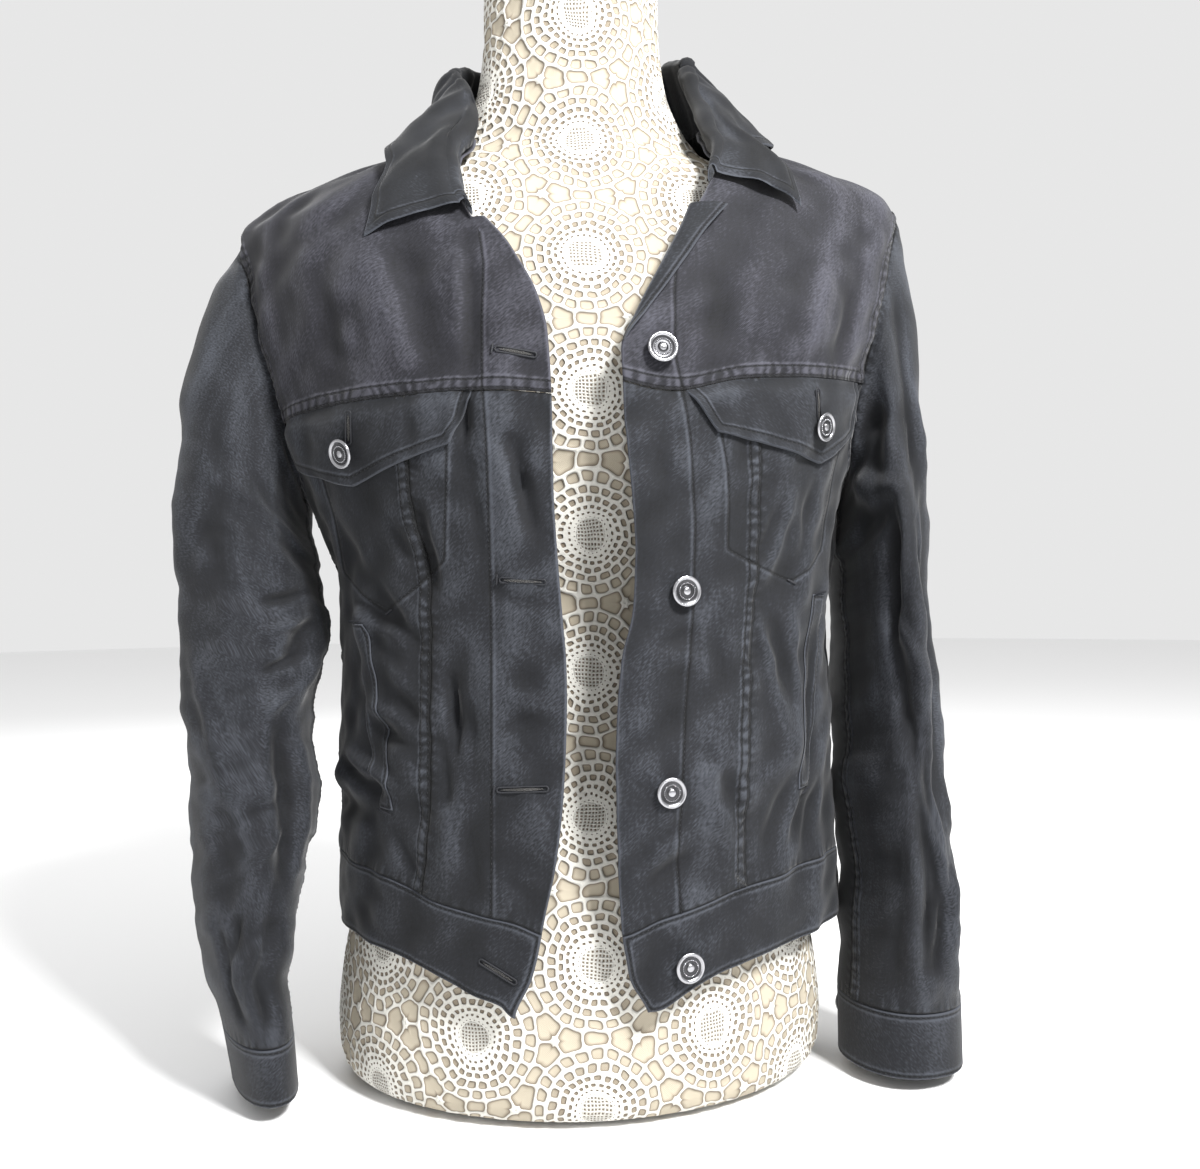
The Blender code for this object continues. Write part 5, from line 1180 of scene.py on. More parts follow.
body_piece("back_yoke", turn, z, "low felled, first felled, last felled", 15,
           masked=[Border("high", "felled", ~at_neck), Border("high", "under", at_neck)])

# %% [markdown]
# ## The waistband
# One doubled band closes the hem from front edge to front edge. It dips in front, because the
# open fronts swing forwards on the form.

# %% The waistband
HEM_ROW_OF_BAND = 0.0021
EDGE_SWINGS = 0.08       # the band's ends follow the front edges over this turn
path_turn = np.linspace(crossing(EDGE_X[LEFT], band_top),
                        crossing(EDGE_X[RIGHT], band_top) + 1, SURE_STEPS)
top_turn = lay_out(places(path_turn, 0.0))[:, 0]
top, bottom = band_levels((top_turn + 0.5) % 1.0 - 0.5)
down = spaced(BAND_BACK_TOP - BAND_BACK_BOTTOM)[:, None]
z = top * (1 - down) + bottom * down
near_left = np.clip(1 - (top_turn - top_turn[0]) / EDGE_SWINGS, 0, 1)
near_right = np.clip(1 - (top_turn[-1] - top_turn) / EDGE_SWINGS, 0, 1)
left_edge, right_edge = front_turn(EDGE_X[LEFT](z), z), front_turn(EDGE_X[RIGHT](z), z) + 1
turn = top_turn + (left_edge - top_turn[0]) * near_left + (right_edge - top_turn[-1]) * near_right
body_piece("waistband", turn, z, ALL_HEM, 17, thickness=DOUBLE_CLOTH, hem_row=HEM_ROW_OF_BAND)

# %% [markdown]
# ## Sleeves and cuffs
# An upper and an under sleeve are sewn along two seams into one tube, and a doubled cuff laps
# over itself at the back under its button.

# %% Sleeves
def sleeve_through(side, around, along):
    """Direction through the cloth, which turns into the body's own at the armhole."""
    turn, z = armhole_place(side, around)
    at_seam = np.clip(1 - along / 0.04, 0, 1)[..., None]
    return unit(-sleeve_normal(side, around, along) * (1 - at_seam) + inward(turn, z) * at_seam)


for side in (RIGHT, LEFT):
    gap = SEAM_GAP / SLEEVE_GIRTH
    stops = {"upper": (SIDE_MEETS_ARMHOLE - 1 + gap, SLEEVE_BACK_SEAM - gap),
             "under": (SLEEVE_BACK_SEAM + gap, SIDE_MEETS_ARMHOLE - gap)}
    along = spaced(SLEEVE_LENGTH * CUFF_STARTS)[:, None] * (CUFF_STARTS - CUFF_SEAM)
    for part, (start, end) in stops.items():
        around = start + spaced((end - start) * SLEEVE_GIRTH)[None] * (end - start)
        around_grid, along_grid = np.broadcast_arrays(around, along)
        node = "sleeve_" + part + "_" + WORD[side]
        strip = "felled" if part == "upper" else "under"
        make_cloth(node, lambda lift: sleeve_cloth(side, around_grid, along_grid, lift),
                   sleeve_through(side, around_grid, along_grid),
                   f"first {strip}, last {strip}, low under, high under", 19 + side + len(part))
        print(node, around_grid.shape, "places")

# %% Cuffs
HEM_ROW_OF_CUFF = 0.0022
CUFF_LAP_RISES = 0.93    # share of a turn at which the upper end starts to climb over the lower
CUFF_LAP_RISE = 0.06
for side in (RIGHT, LEFT):
    share = spaced(SLEEVE_GIRTH * (1 + CUFF_LAP_SHARE))
    around = CUFF_LAP_AROUND - CUFF_LAP_SHARE / 2 + share * (1 + CUFF_LAP_SHARE)
    over = smooth_step((share * (1 + CUFF_LAP_SHARE) - CUFF_LAP_RISES) / CUFF_LAP_RISE)
    lap = (over * (DOUBLE_CLOTH + LAY_GAP))[None]
    along = (CUFF_STARTS + CUFF_SEAM + spaced(SLEEVE_LENGTH * (1 - CUFF_STARTS))[:, None]
             * (CUFF_ENDS - CUFF_STARTS))
    around_grid, along_grid = np.broadcast_arrays(around[None], along)
    make_cloth("cuff_" + WORD[side],
               lambda lift: sleeve_cloth(side, around_grid, along_grid, lift + lap),
               sleeve_through(side, around_grid, along_grid),
               ALL_HEM, 25 + side, DOUBLE_CLOTH, HEM_ROW_OF_CUFF)

# %% [markdown]
# ## Collar, folded front, flaps and welts
# These lie on top of the panels. A flap is thin where it goes into the yoke's seam and reaches
# its full thickness a finger's width lower, so that it seems to come out of the seam.

# %% The collar
HEM_ROW_OF_COLLAR = 0.0060
COLLAR_LENGTH, COLLAR_DEPTH = 0.46, 0.105
COLLAR_WAVES = 1.6       # the collar is this much more uneven than the body
around = COLLAR[0].around + spaced(COLLAR_LENGTH)[None] * (COLLAR[-1].around - COLLAR[0].around)
across = spaced(COLLAR_DEPTH)[:, None]
around, across = np.broadcast_arrays(around, across)
collar_face = collar_middle(around, across)
collar_out = -normals_of(collar_face)
collar_waves = (unevenness(around * COLLAR_LENGTH, across * 0.10, 31)
                * smooth_step(across / 0.5) * COLLAR_WAVES)
make_cloth("collar", lambda lift: collar_face
           + collar_out * (DOUBLE_CLOTH / 2 + collar_waves + lift)[..., None], -collar_out,
           "low under, high hem, first hem, last hem", 29, DOUBLE_CLOTH, HEM_ROW_OF_COLLAR)

# %% The folded strip of the left front
HEM_ROW_OF_LAPEL = 0.0025
lapel_rows = columns(LAPEL, "z")
z = LAPEL[0].z + spaced(LAPEL[-1].z - LAPEL[0].z)[:, None] * (LAPEL[-1].z - LAPEL[0].z)
out = np.linspace(0, 1, 12)[None]
lapel_x = EDGE_X[LEFT](z) + lapel_rows["spread"](z) * out
lapel_z = z + 0.0 * lapel_x
lapel_turn = front_turn(lapel_x, lapel_z)
lapel_lift = LAY_GAP + CLOTH + LAPEL_LIFT * np.sin(out * math.pi / 2) + 0.0 * lapel_x
make_cloth("lapel_left", lambda lift: body_cloth(lapel_turn, lapel_z, lapel_lift + lift),
           -body_normal(lapel_turn, lapel_z), "last hem, first edge", 33, hem_row=HEM_ROW_OF_LAPEL)

# %% Pocket flaps
HEM_ROW_OF_FLAP = 0.0056
FLAP_DEPTH = 0.035
FLAP_STARTS = 0.0004     # the flap's face lies this far off the panel at the yoke's seam
for side in (RIGHT, LEFT):
    flap = FLAPS[side]
    out = spaced(abs(flap.top_outer - flap.top_inner) * BODY_GIRTH)[None]
    down = spaced(FLAP_DEPTH)[:, None]
    point = (flap.point - flap.low_inner) / (flap.low_outer - flap.low_inner)
    low_z = np.where(out < point,
                     flap.low_z_in + (flap.point_z - flap.low_z_in) * out / point,
                     flap.low_z_out + (flap.point_z - flap.low_z_out) * (1 - out) / (1 - point))
    top_turn = flap.top_inner * (1 - out) + flap.top_outer * out
    low_turn = flap.low_inner * (1 - out) + flap.low_outer * out
    turn = top_turn * (1 - down) + low_turn * down
    z = (yoke_level(side)(top_turn) - SEAM_GAP) * (1 - down) + low_z * down
    risen = smooth_step(down / 0.25) + 0.0 * turn
    flap_lift = FLAP_STARTS + (LAY_GAP + DOUBLE_CLOTH - FLAP_STARTS) * risen
    make_cloth("pocket_flap_" + WORD[side],
               lambda lift: body_cloth(turn, z, flap_lift + lift),
               -body_normal(turn, z), "high hem, first hem, last hem", 35 + side,
               DOUBLE_CLOTH, HEM_ROW_OF_FLAP)

# %% Pocket welts
HEM_ROW_OF_WELT = 0.0016
WELT_LIFT = 0.0013       # its outer face off the panel
WELT_SPREAD = 1.15       # a welt's width as seen from the front
for side in (RIGHT, LEFT):
    welt = WELTS[side]
    down = spaced(welt.top_z - welt.low_z)[:, None]
    across = np.linspace(-0.5, 0.5, 11)[None] * WELT_WIDTH * WELT_SPREAD
    x = welt.top_x * (1 - down) + welt.low_x * down + side * across
    z = welt.top_z * (1 - down) + welt.low_z * down + 0.0 * across
    turn = front_turn(x, z)
    make_cloth("side_welt_" + WORD[side],
               lambda lift: body_cloth(turn, z, WELT_LIFT + lift),
               -body_normal(turn, z), ALL_HEM, 39 + side, hem_row=HEM_ROW_OF_WELT)
print("cloth pieces:", len(PIECES))

# %% [markdown]
# ## Stitches
# Every row is laid as single stitches: short spindles that dip into the cloth at both ends. A
# striped material would be lighter, but real stitches catch the light and stay sharp close up.

# %% Lay rows of stitches
STITCH_PITCH = 0.0031
STITCH_LENGTH = 0.0025
STITCH_HALF_WIDTH = 0.00026
STITCH_HEIGHT = 0.00030
STITCH_SINK = 0.00015
SPINDLE = [(0, 3, 2), (0, 4, 3), (0, 5, 4), (0, 2, 5),
           (1, 2, 3), (1, 3, 4), (1, 4, 5), (1, 5, 2)]


def border_line(piece, border, distance, where=True):
    """Places and outward directions along one border of a piece, this far in from it."""
    grid = np.concatenate([piece.outer, piece.outside], -1)
    away = piece.away[border]
    keep = np.broadcast_to(np.asarray(where), away.shape)
    for other, kind, _ in piece.kinds:
        crosses = (other in ("low", "high")) != (border in ("low", "high"))
        if kind == "hem" and crosses:
            keep = keep & (piece.away[other] > distance - 0.0002)
    if border in ("low", "high"):
        grid, away, keep = grid.swapaxes(0, 1), away.T, keep.T
    if border in ("last", "high"):
        grid, away, keep = grid[:, ::-1], away[:, ::-1], keep[:, ::-1]
    lines = [[np.interp(distance, run, row[:, k]) for k in range(6)]
             for run, row in zip(away, grid)]
    return np.array(lines)[keep[:, 0]]


def add_part(name, verts, faces, slot):
    mesh = bpy.data.meshes.new(name)
    mesh.from_pydata(verts, [], faces)
    mesh.shade_smooth()
    obj = bpy.data.objects.new(name, mesh)
    jacket_parts.objects.link(obj)
    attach(obj, "root")
    return obj


def add_stitches(name, lines):
    """One object with a stitch every few millimetres along each line."""
    found = []
    for line in lines:
        if len(line) < 2:
            continue
        run = lengths(line[None, :, :3], 1)[0]
        starts = np.arange(STITCH_PITCH / 2, run[-1] - STITCH_LENGTH, STITCH_PITCH)
        a, middle, b = (np.stack([np.interp(starts + shift, run, line[:, k]) for k in range(6)], -1)
                        for shift in (0, STITCH_LENGTH / 2, STITCH_LENGTH))
        out = unit(middle[:, 3:])
        side_way = unit(np.cross(out, b[:, :3] - a[:, :3])) * STITCH_HALF_WIDTH
        core = middle[:, :3]
        found.append(np.stack([a[:, :3] - out * STITCH_SINK, b[:, :3] - out * STITCH_SINK,
                               core + side_way, core + out * STITCH_HEIGHT, core - side_way,
                               core - out * STITCH_SINK], 1))
    verts = np.concatenate(found)
    faces = (np.array(SPINDLE)[None] + np.arange(len(verts))[:, None, None] * 6).reshape(-1, 3)
    return add_part(name, verts.reshape(-1, 3), faces, "denim")


STITCHES = {}
for node, piece in PIECES.items():
    rows = []
    for border, kind, where in piece.kinds:
        distances = ROWS_OF_FELLED if kind == "felled" else (piece.hem_row,) * (kind == "hem")
        rows += [border_line(piece, border, distance, where) for distance in distances if distance]
    if rows:
        STITCHES[node] = [add_stitches("stitches_" + node, rows)]
print("rows of stitches on", len(STITCHES), "pieces")

# %% Stitches of the pockets and plackets
SEWN_STEP = 0.0012


def front_places(x, z):
    """Places and outward directions on the fronts' cloth, over the felled strip too."""
    seam_x = np.where(x < 0, SEAM_X[RIGHT](z), SEAM_X[LEFT](z))
    on_strip = (x < seam_x) & (x > seam_x - STRIP_WIDTH)
    turn = front_turn(x, z)
    here = body_cloth(turn, z, np.where(on_strip, STRIP_HEIGHT, 0.0))
    return np.concatenate([here, body_normal(turn, z)], -1)


def sewn_line(line):
    x, z = np.array(line).T
    run = running(np.hypot(np.diff(x), np.diff(z)))
    at = np.arange(0, run[-1], SEWN_STEP)
    return front_places(np.interp(at, run, x), np.interp(at, run, z))


for side in (RIGHT, LEFT):
    for word, line in (("placket", PLACKET_LINE[side]), ("pocket", POCKET_LINE[side])):
        obj = add_stitches("stitches_" + word + "_" + WORD[side], [sewn_line(line)])
        STITCHES.setdefault("front_centre_" + WORD[side], []).append(obj)

# %% [markdown]
# ## Buttonholes and bar tacks
# A buttonhole is a slit with dense thread worked round it, so it is a ribbed cord bent into a
# long loop over a dark sheet: the cloth below is not cut, and the sheet's near-black is
# painted shade of the opening. A bar tack is the same cord, straight and short.

# %% Ribbed cords of thread
CORD_SIDES = 6
CORD_STEP = 0.0003
RIB_LENGTH = 0.0009
RIB_DEPTH = 0.24
CORD_FLATNESS = 0.8


def ribbed_cord(line, radius, closed):
    """Verts and faces of a cord of thread along places with outward directions."""
    run = lengths(line[None, :, :3], 1)[0]
    at = np.arange(0, run[-1], CORD_STEP)
    line = np.stack([np.interp(at, run, line[:, k]) for k in range(6)], -1)
    core, out = line[:, :3], unit(line[:, 3:])
    ahead = np.roll(core, -1, 0) - np.roll(core, 1, 0) if closed else np.gradient(core, axis=0)
    side_way = unit(np.cross(out, ahead))
    angle = np.linspace(0, 2 * math.pi, CORD_SIDES, endpoint=False)[None, :, None]
    ribs = 1 + RIB_DEPTH * np.sin(2 * math.pi * at / RIB_LENGTH)
    ends = (np.ones_like(at) if closed
            else np.sqrt(np.clip(1 - (2 * at / at[-1] - 1) ** 8, 0.02, 1)))
    size = (radius * ribs * ends)[:, None, None]
    around = side_way[:, None] * np.cos(angle) + out[:, None] * np.sin(angle) * CORD_FLATNESS
    ring = core[:, None] + around * size
    count = len(at)
    index = np.arange(count * CORD_SIDES).reshape(count, CORD_SIDES)
    after = np.roll(index, -1, 0) if closed else index[1:]
    before = index if closed else index[:-1]
    faces = np.stack([before, np.roll(before, -1, 1), np.roll(after, -1, 1), after], -1)
    caps = [] if closed else [index[0][::-1].tolist(), index[-1].tolist()]
    return ring.reshape(-1, 3), faces.reshape(-1, 4).tolist() + caps


def straight(start, end, count=24):
    share = np.linspace(0, 1, count)
    return start[0] + (end[0] - start[0]) * share, start[1] + (end[1] - start[1]) * share


# %% Buttonholes
BUTTONHOLE_HALF_WIDTH = 0.0014
THREAD_CORD = 0.00050
THREAD_LIFT = 0.0006     # so that the thread and the slit stand clear of the cloth's puckers
SLIT_HALF_WIDTH = 0.0008
ON_FLAP = DOUBLE_CLOTH + LAY_GAP
Buttonhole = namedtuple("Buttonhole", "name node x_a z_a x_b z_b lift")
BUTTONHOLES = [
    Buttonhole("front_1", "front_yoke_right", -0.0520, 0.4300, -0.0300, 0.4265, 0.0),
    Buttonhole("front_2", "front_centre_right", -0.0510, 0.3060, -0.0260, 0.3045, 0.0),
    Buttonhole("front_3", "front_centre_right", -0.0530, 0.1925, -0.0260, 0.1935, 0.0),
    Buttonhole("front_4", "waistband", -0.0640, 0.0985, -0.0440, 0.0880, 0.0),
    Buttonhole("pocket_right", "pocket_flap_right", -0.1312, 0.4010, -0.1325, 0.3830, ON_FLAP),
    Buttonhole("pocket_left", "pocket_flap_left", 0.1280, 0.4140, 0.1312, 0.3960, ON_FLAP),
]


def lifted(x, z, lift):
    turn = front_turn(x, z)
    return np.concatenate([body_cloth(turn, z, lift), body_normal(turn, z)], -1)


SLITS = []
for hole in BUTTONHOLES:
    run = np.array((hole.x_b - hole.x_a, hole.z_b - hole.z_a))
    length = float(np.hypot(*run))
    ahead = run / length
    beside = np.array((-ahead[1], ahead[0]))
    angle = np.linspace(0, 2 * math.pi, 90)
    end_on = np.sign(np.cos(angle)) * (length / 2 - BUTTONHOLE_HALF_WIDTH)
    local = (np.stack([end_on, 0 * angle], -1)
             + BUTTONHOLE_HALF_WIDTH * np.stack([np.cos(angle), np.sin(angle)], -1))
    middle = np.array(((hole.x_a + hole.x_b) / 2, (hole.z_a + hole.z_b) / 2))
    spots = middle + local[:, :1] * ahead + local[:, 1:] * beside
    lift = hole.lift + THREAD_LIFT
    cord = ribbed_cord(lifted(spots[:, 0], spots[:, 1], lift), THREAD_CORD, True)
    STITCHES.setdefault(hole.node, []).append(add_part("buttonhole_" + hole.name, *cord, "denim"))
    # The slit is a dark sheet laid on the uncut cloth: painted shade of the opening
    share = np.linspace(-1, 1, 25)
    open_by = SLIT_HALF_WIDTH * np.sqrt(np.clip(1 - share ** 2, 0, 1))
    rim = [middle + (share * (length / 2 - 2 * BUTTONHOLE_HALF_WIDTH * 0.7))[:, None] * ahead
           + (open_by * way)[:, None] * beside for way in (-1, 1)]
    edges = [lifted(line[:, 0], line[:, 1], lift)[:, :3] for line in rim]
    count = len(share)
    slit = add_part("slit_" + hole.name, np.concatenate(edges),
                    [(i, i + 1, i + 1 + count, i + count) for i in range(count - 1)], "denim")
    STITCHES[hole.node].append(slit)
    SLITS.append(slit)
print(len(BUTTONHOLES), "buttonholes")

# %% Bar tacks
TACK_LIFT = 0.0003
TACK_CORD = 1.25 * THREAD_CORD
Tack = namedtuple("Tack", "name node x z reach_x reach_z lift")
TACKS = table(Tack, """
welt_right_top side_welt_right -.13 .2835 .005 .0006 .002
welt_right_low side_welt_right -.116 .1745 .005 -.0008 .002
welt_left_top side_welt_left .1385 .297 .005 .0006 .002
welt_left_low side_welt_left .1265 .1805 .005 .0008 .002
hole_1 front_yoke_right -.0535 .4303 .0004 .003 .0004
hole_2 front_centre_right -.0525 .3062 .0004 .003 .0004
hole_3 front_centre_right -.0545 .1924 .0004 .003 .0004
pocket_right front_side_right -.116 .2885 .0022 .0016 .0004
pocket_left front_side_left .117 .3035 .0022 -.0014 .0004""")
for tack in TACKS:
    x, z = straight((tack.x - tack.reach_x, tack.z - tack.reach_z),
                    (tack.x + tack.reach_x, tack.z + tack.reach_z))
    cord = ribbed_cord(lifted(x, z, tack.lift + TACK_LIFT), TACK_CORD, False)
    STITCHES.setdefault(tack.node, []).append(add_part("tack_" + tack.name, *cord, "denim"))
print(len(TACKS), "bar tacks")

# %% [markdown]
# ## Shank buttons
# Each button is turned: a domed middle, a sunk ring, a raised rim and a shank. The sunk ring
# carries a plain circle of beads.

# %% Turn the buttons
# Outline from the middle of the face to the foot, as parts of the radius and the height.
OutlinePlace = namedtuple("OutlinePlace", "radius height")
BUTTON_OUTLINE = table(OutlinePlace, """
.0 .985, .1 .98, .18 .955, .24 .9, .28 .82, .31 .775, .36 .765, .55 .775, .7 .79, .74 .83
.78 .9, .84 .955, .9 .965, .955 .93, .99 .85, 1. .76, .97 .69, .86 .64, .6 .59, .42 .52, .36 .4
.36 .0, .0 .0""")
BUTTON_STEPS = 56
BEADS = 26
BEAD_RING, BEAD_RADIUS, BEAD_HEIGHT = 0.52, 0.056, 0.085
BEADS_STAND = 0.775      # height of the sunk ring, as a share of the button's
SUNK_FROM, SUNK_TO = 0.25, 0.745


def turned(outline, steps):
    """Verts and faces of an outline of (radius, height) turned round Z."""
    radius, height = np.array(outline).T
    angle = np.linspace(0, 2 * math.pi, steps, endpoint=False)[None]
    ring = np.stack([radius[1:-1, None] * np.cos(angle), radius[1:-1, None] * np.sin(angle),
                     height[1:-1, None] + 0 * angle], -1)
    rows = len(ring)
    index = np.arange(rows * steps).reshape(rows, steps)
    upper, lower = index[:-1], index[1:]
    faces = np.stack([upper, lower, np.roll(lower, -1, 1), np.roll(upper, -1, 1)], -1)
    top, low = rows * steps, rows * steps + 1
    faces = faces.reshape(-1, 4).tolist()
    for i in range(steps):
        j = (i + 1) % steps
        faces += [(top, index[0, i], index[0, j]), (low, index[-1, j], index[-1, i])]
    ends = [(0, 0, height[0]), (0, 0, height[-1])]
    return np.concatenate([ring.reshape(-1, 3), ends]), faces


def button_shape():
    verts, faces = turned([(r * BUTTON_RADIUS, h * BUTTON_HEIGHT) for r, h in BUTTON_OUTLINE],
                          BUTTON_STEPS)
    middles = np.array([verts[list(face)].mean(0) for face in faces])
    spread = np.hypot(middles[:, 0], middles[:, 1]) / BUTTON_RADIUS
    raised = middles[:, 2] > 0.7 * BUTTON_HEIGHT
    sunk = (spread > SUNK_FROM) & (spread < SUNK_TO) & raised
    dome = [(0, BEAD_HEIGHT), (0.6 * BEAD_RADIUS, 0.8 * BEAD_HEIGHT),
            (BEAD_RADIUS, 0.2 * BEAD_HEIGHT), (BEAD_RADIUS, -0.03), (0, -0.03)]
    bead, bead_faces = turned(dome, 8)
    parts, all_faces, count = [verts], list(faces), len(verts)
    for i in range(BEADS):
        turn = 2 * math.pi * i / BEADS
        middle = np.array((BEAD_RING * math.cos(turn), BEAD_RING * math.sin(turn), 0))
        here = (bead + middle) * BUTTON_RADIUS + (0, 0, BEADS_STAND * BUTTON_HEIGHT)
        all_faces += [tuple(count + k for k in face) for face in bead_faces]
        parts.append(here)
        count += len(here)
    sunk = np.concatenate([sunk, np.zeros(len(all_faces) - len(sunk))])
    return np.concatenate(parts), all_faces, sunk


BUTTON_VERTS, BUTTON_FACES, BUTTON_SUNK = button_shape()
BUTTONS = []


def add_button(name, place, direction):
    turn = np.array(Vector(direction).to_track_quat("Z", "Y").to_matrix())
    obj = add_part("metal_" + name, BUTTON_VERTS @ turn.T + np.array(place), BUTTON_FACES,
                   "button_metal")
    obj.data.set_sharp_from_angle(angle=math.radians(50))
    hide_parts(name)
    BUTTONS.append(obj)


for spot in FRONT_BUTTONS:
    turn = front_turn(spot.x, spot.z)
    add_button(spot.name, body_layer(turn, spot.z, LAY_GAP), body_normal(turn, spot.z))
for side, spot in FLAP_BUTTONS.items():
    turn = front_turn(spot.x, spot.z)
    add_button(spot.name, body_layer(turn, spot.z, LAY_GAP + ON_FLAP), body_normal(turn, spot.z))
for side in (RIGHT, LEFT):
    around, along = np.array(CUFF_LAP_AROUND), np.array((CUFF_STARTS + 1) / 2)
    place = sleeve_layer(side, around, along, DOUBLE_CLOTH + 2 * LAY_GAP)
    add_button("button_cuff_" + WORD[side], place, sleeve_normal(side, around, along))
print(len(BUTTONS), "buttons of", len(BUTTON_FACES), "faces")

# %% [markdown]
# ## Sums in a material
# Shade wraps one socket, so that 1 - mask adds a node by itself. The same step works on arrays,
# so that one formula can push the mesh and colour it.

# %% Sockets that can be used in sums
ARRAY_STEPS = {
    "ADD": np.add, "SUBTRACT": np.subtract, "MULTIPLY": np.multiply, "DIVIDE": np.divide,
    "SINE": np.sin, "COSINE": np.cos, "ARCTAN2": np.arctan2, "SQRT": np.sqrt, "FLOOR": np.floor,
    "MINIMUM": np.minimum, "MAXIMUM": np.maximum, "ABSOLUTE": np.abs, "EXPONENT": np.exp,
    "LESS_THAN": lambda a, b: np.where(a < b, 1.0, 0.0),
    "LOGARITHM": lambda value, base: np.log(value) / np.log(base),
    "WRAP": lambda value, high, low: (value - low) % (high - low) + low,
}


def step(operation, *values):
    """One step of maths on numbers or arrays, or as a Math node where a Shade is among them."""
    for value in values:
        if isinstance(value, Shade):
            return value.paint.node("ShaderNodeMath", {"operation": operation},
                                    dict(enumerate(values)))
    return ARRAY_STEPS[operation](*values)


class Shade:
    """A socket of a material that can stand in a sum."""

    def __init__(self, paint, socket):
        self.paint, self.socket = paint, socket

    __add__ = __radd__ = lambda self, other: step("ADD", self, other)
    __mul__ = __rmul__ = lambda self, other: step("MULTIPLY", self, other)
    __sub__ = lambda self, other: step("SUBTRACT", self, other)
    __rsub__ = lambda self, other: step("SUBTRACT", other, self)
    __truediv__ = lambda self, other: step("DIVIDE", self, other)


class Paint:
    """A new material and the making of its nodes."""

    def __init__(self, name):
        self.material = bpy.data.materials.new(name)
        self.material.use_nodes = True
        self.tree = self.material.node_tree
        self.shader = self.tree.nodes["Principled BSDF"]

    def node(self, kind, settings=None, sockets=None, output=0):
        """A node of any type: its settings first, then values or links for its sockets."""
        node = self.tree.nodes.new(kind)
        for key, value in (settings or {}).items():
            setattr(node, key, value)
        for key, value in (sockets or {}).items():
            self.plug(node.inputs[key], value)
        return Shade(self, node.outputs[output])

    def plug(self, socket, value):
        if isinstance(value, Shade):
            self.tree.links.new(value.socket, socket)
        else:
            socket.default_value = value

    def cloth_measure(self):
        """Metres across and up the cloth."""
        uv = self.node("ShaderNodeUVMap", {"uv_map": "cloth"})
        return [self.node("ShaderNodeSeparateXYZ", {}, {0: uv}, output) for output in (0, 1)]

    def uniform(self, **values):
        """Values that are the same all over, for sockets of the shader."""
        for name, value in values.items():
            self.shader.inputs[name].default_value = value

    def value(self, name):
        """A distance that the mesh carries."""
        return self.node("ShaderNodeAttribute", {"attribute_name": name}, {}, "Fac")

    def noise(self, x, y, detail, offset):
        """Soft noise from 0 to 1 over two coordinates."""
        place = self.node("ShaderNodeCombineXYZ", {}, {0: x, 1: y, 2: offset})
        return self.speckle(1.0, detail, Vector=place)

    def speckle(self, scale, detail, **more):
        return self.node("ShaderNodeTexNoise", {}, {"Scale": scale, "Detail": detail, **more})

    def blend(self, mask, below, above):
        """One colour over another where the mask is 1."""
        return self.node("ShaderNodeMix", {"data_type": "RGBA"}, {0: mask, 6: below, 7: above}, 2)

    def finish(self, colour, roughness, height=None):
        self.plug(self.shader.inputs["Base Color"], colour)
        self.plug(self.shader.inputs["Roughness"], roughness)
        if height is not None:
            bump = self.node("ShaderNodeBump", {},
                             {"Height": height, "Distance": 1.0, "Strength": 1.0})
            self.plug(self.shader.inputs["Normal"], bump)
        return self.material


def within(value, full, none):
    """1 where a value is at full, 0 where it is at none, and straight between."""
    return step("MINIMUM", step("MAXIMUM", (value - none) * (1 / (full - none)), 0.0), 1.0)


def line_at(distance, width):
    """A soft line where a distance is nought."""
    return step("EXPONENT", distance * distance * (-1 / width ** 2))


# %% [markdown]
# ## Washed denim
# Black denim is a twill: fine diagonal ribs, dark warp over a paler weft. Washing wears the
# ridges of the puckers, the rims and the seams pale, and leaves the hollows dark. On top of
# that the material paints light on the ridges of folds and creases and paints shade into their
# hollows, the stitch grooves and the joints between pieces. The mesh tells how far each place
# is from a seam, a rim or a row of stitches, and how far it stands above the cloth around it.

# %% Mix the denim
TWILL_LENGTH = 0.0009


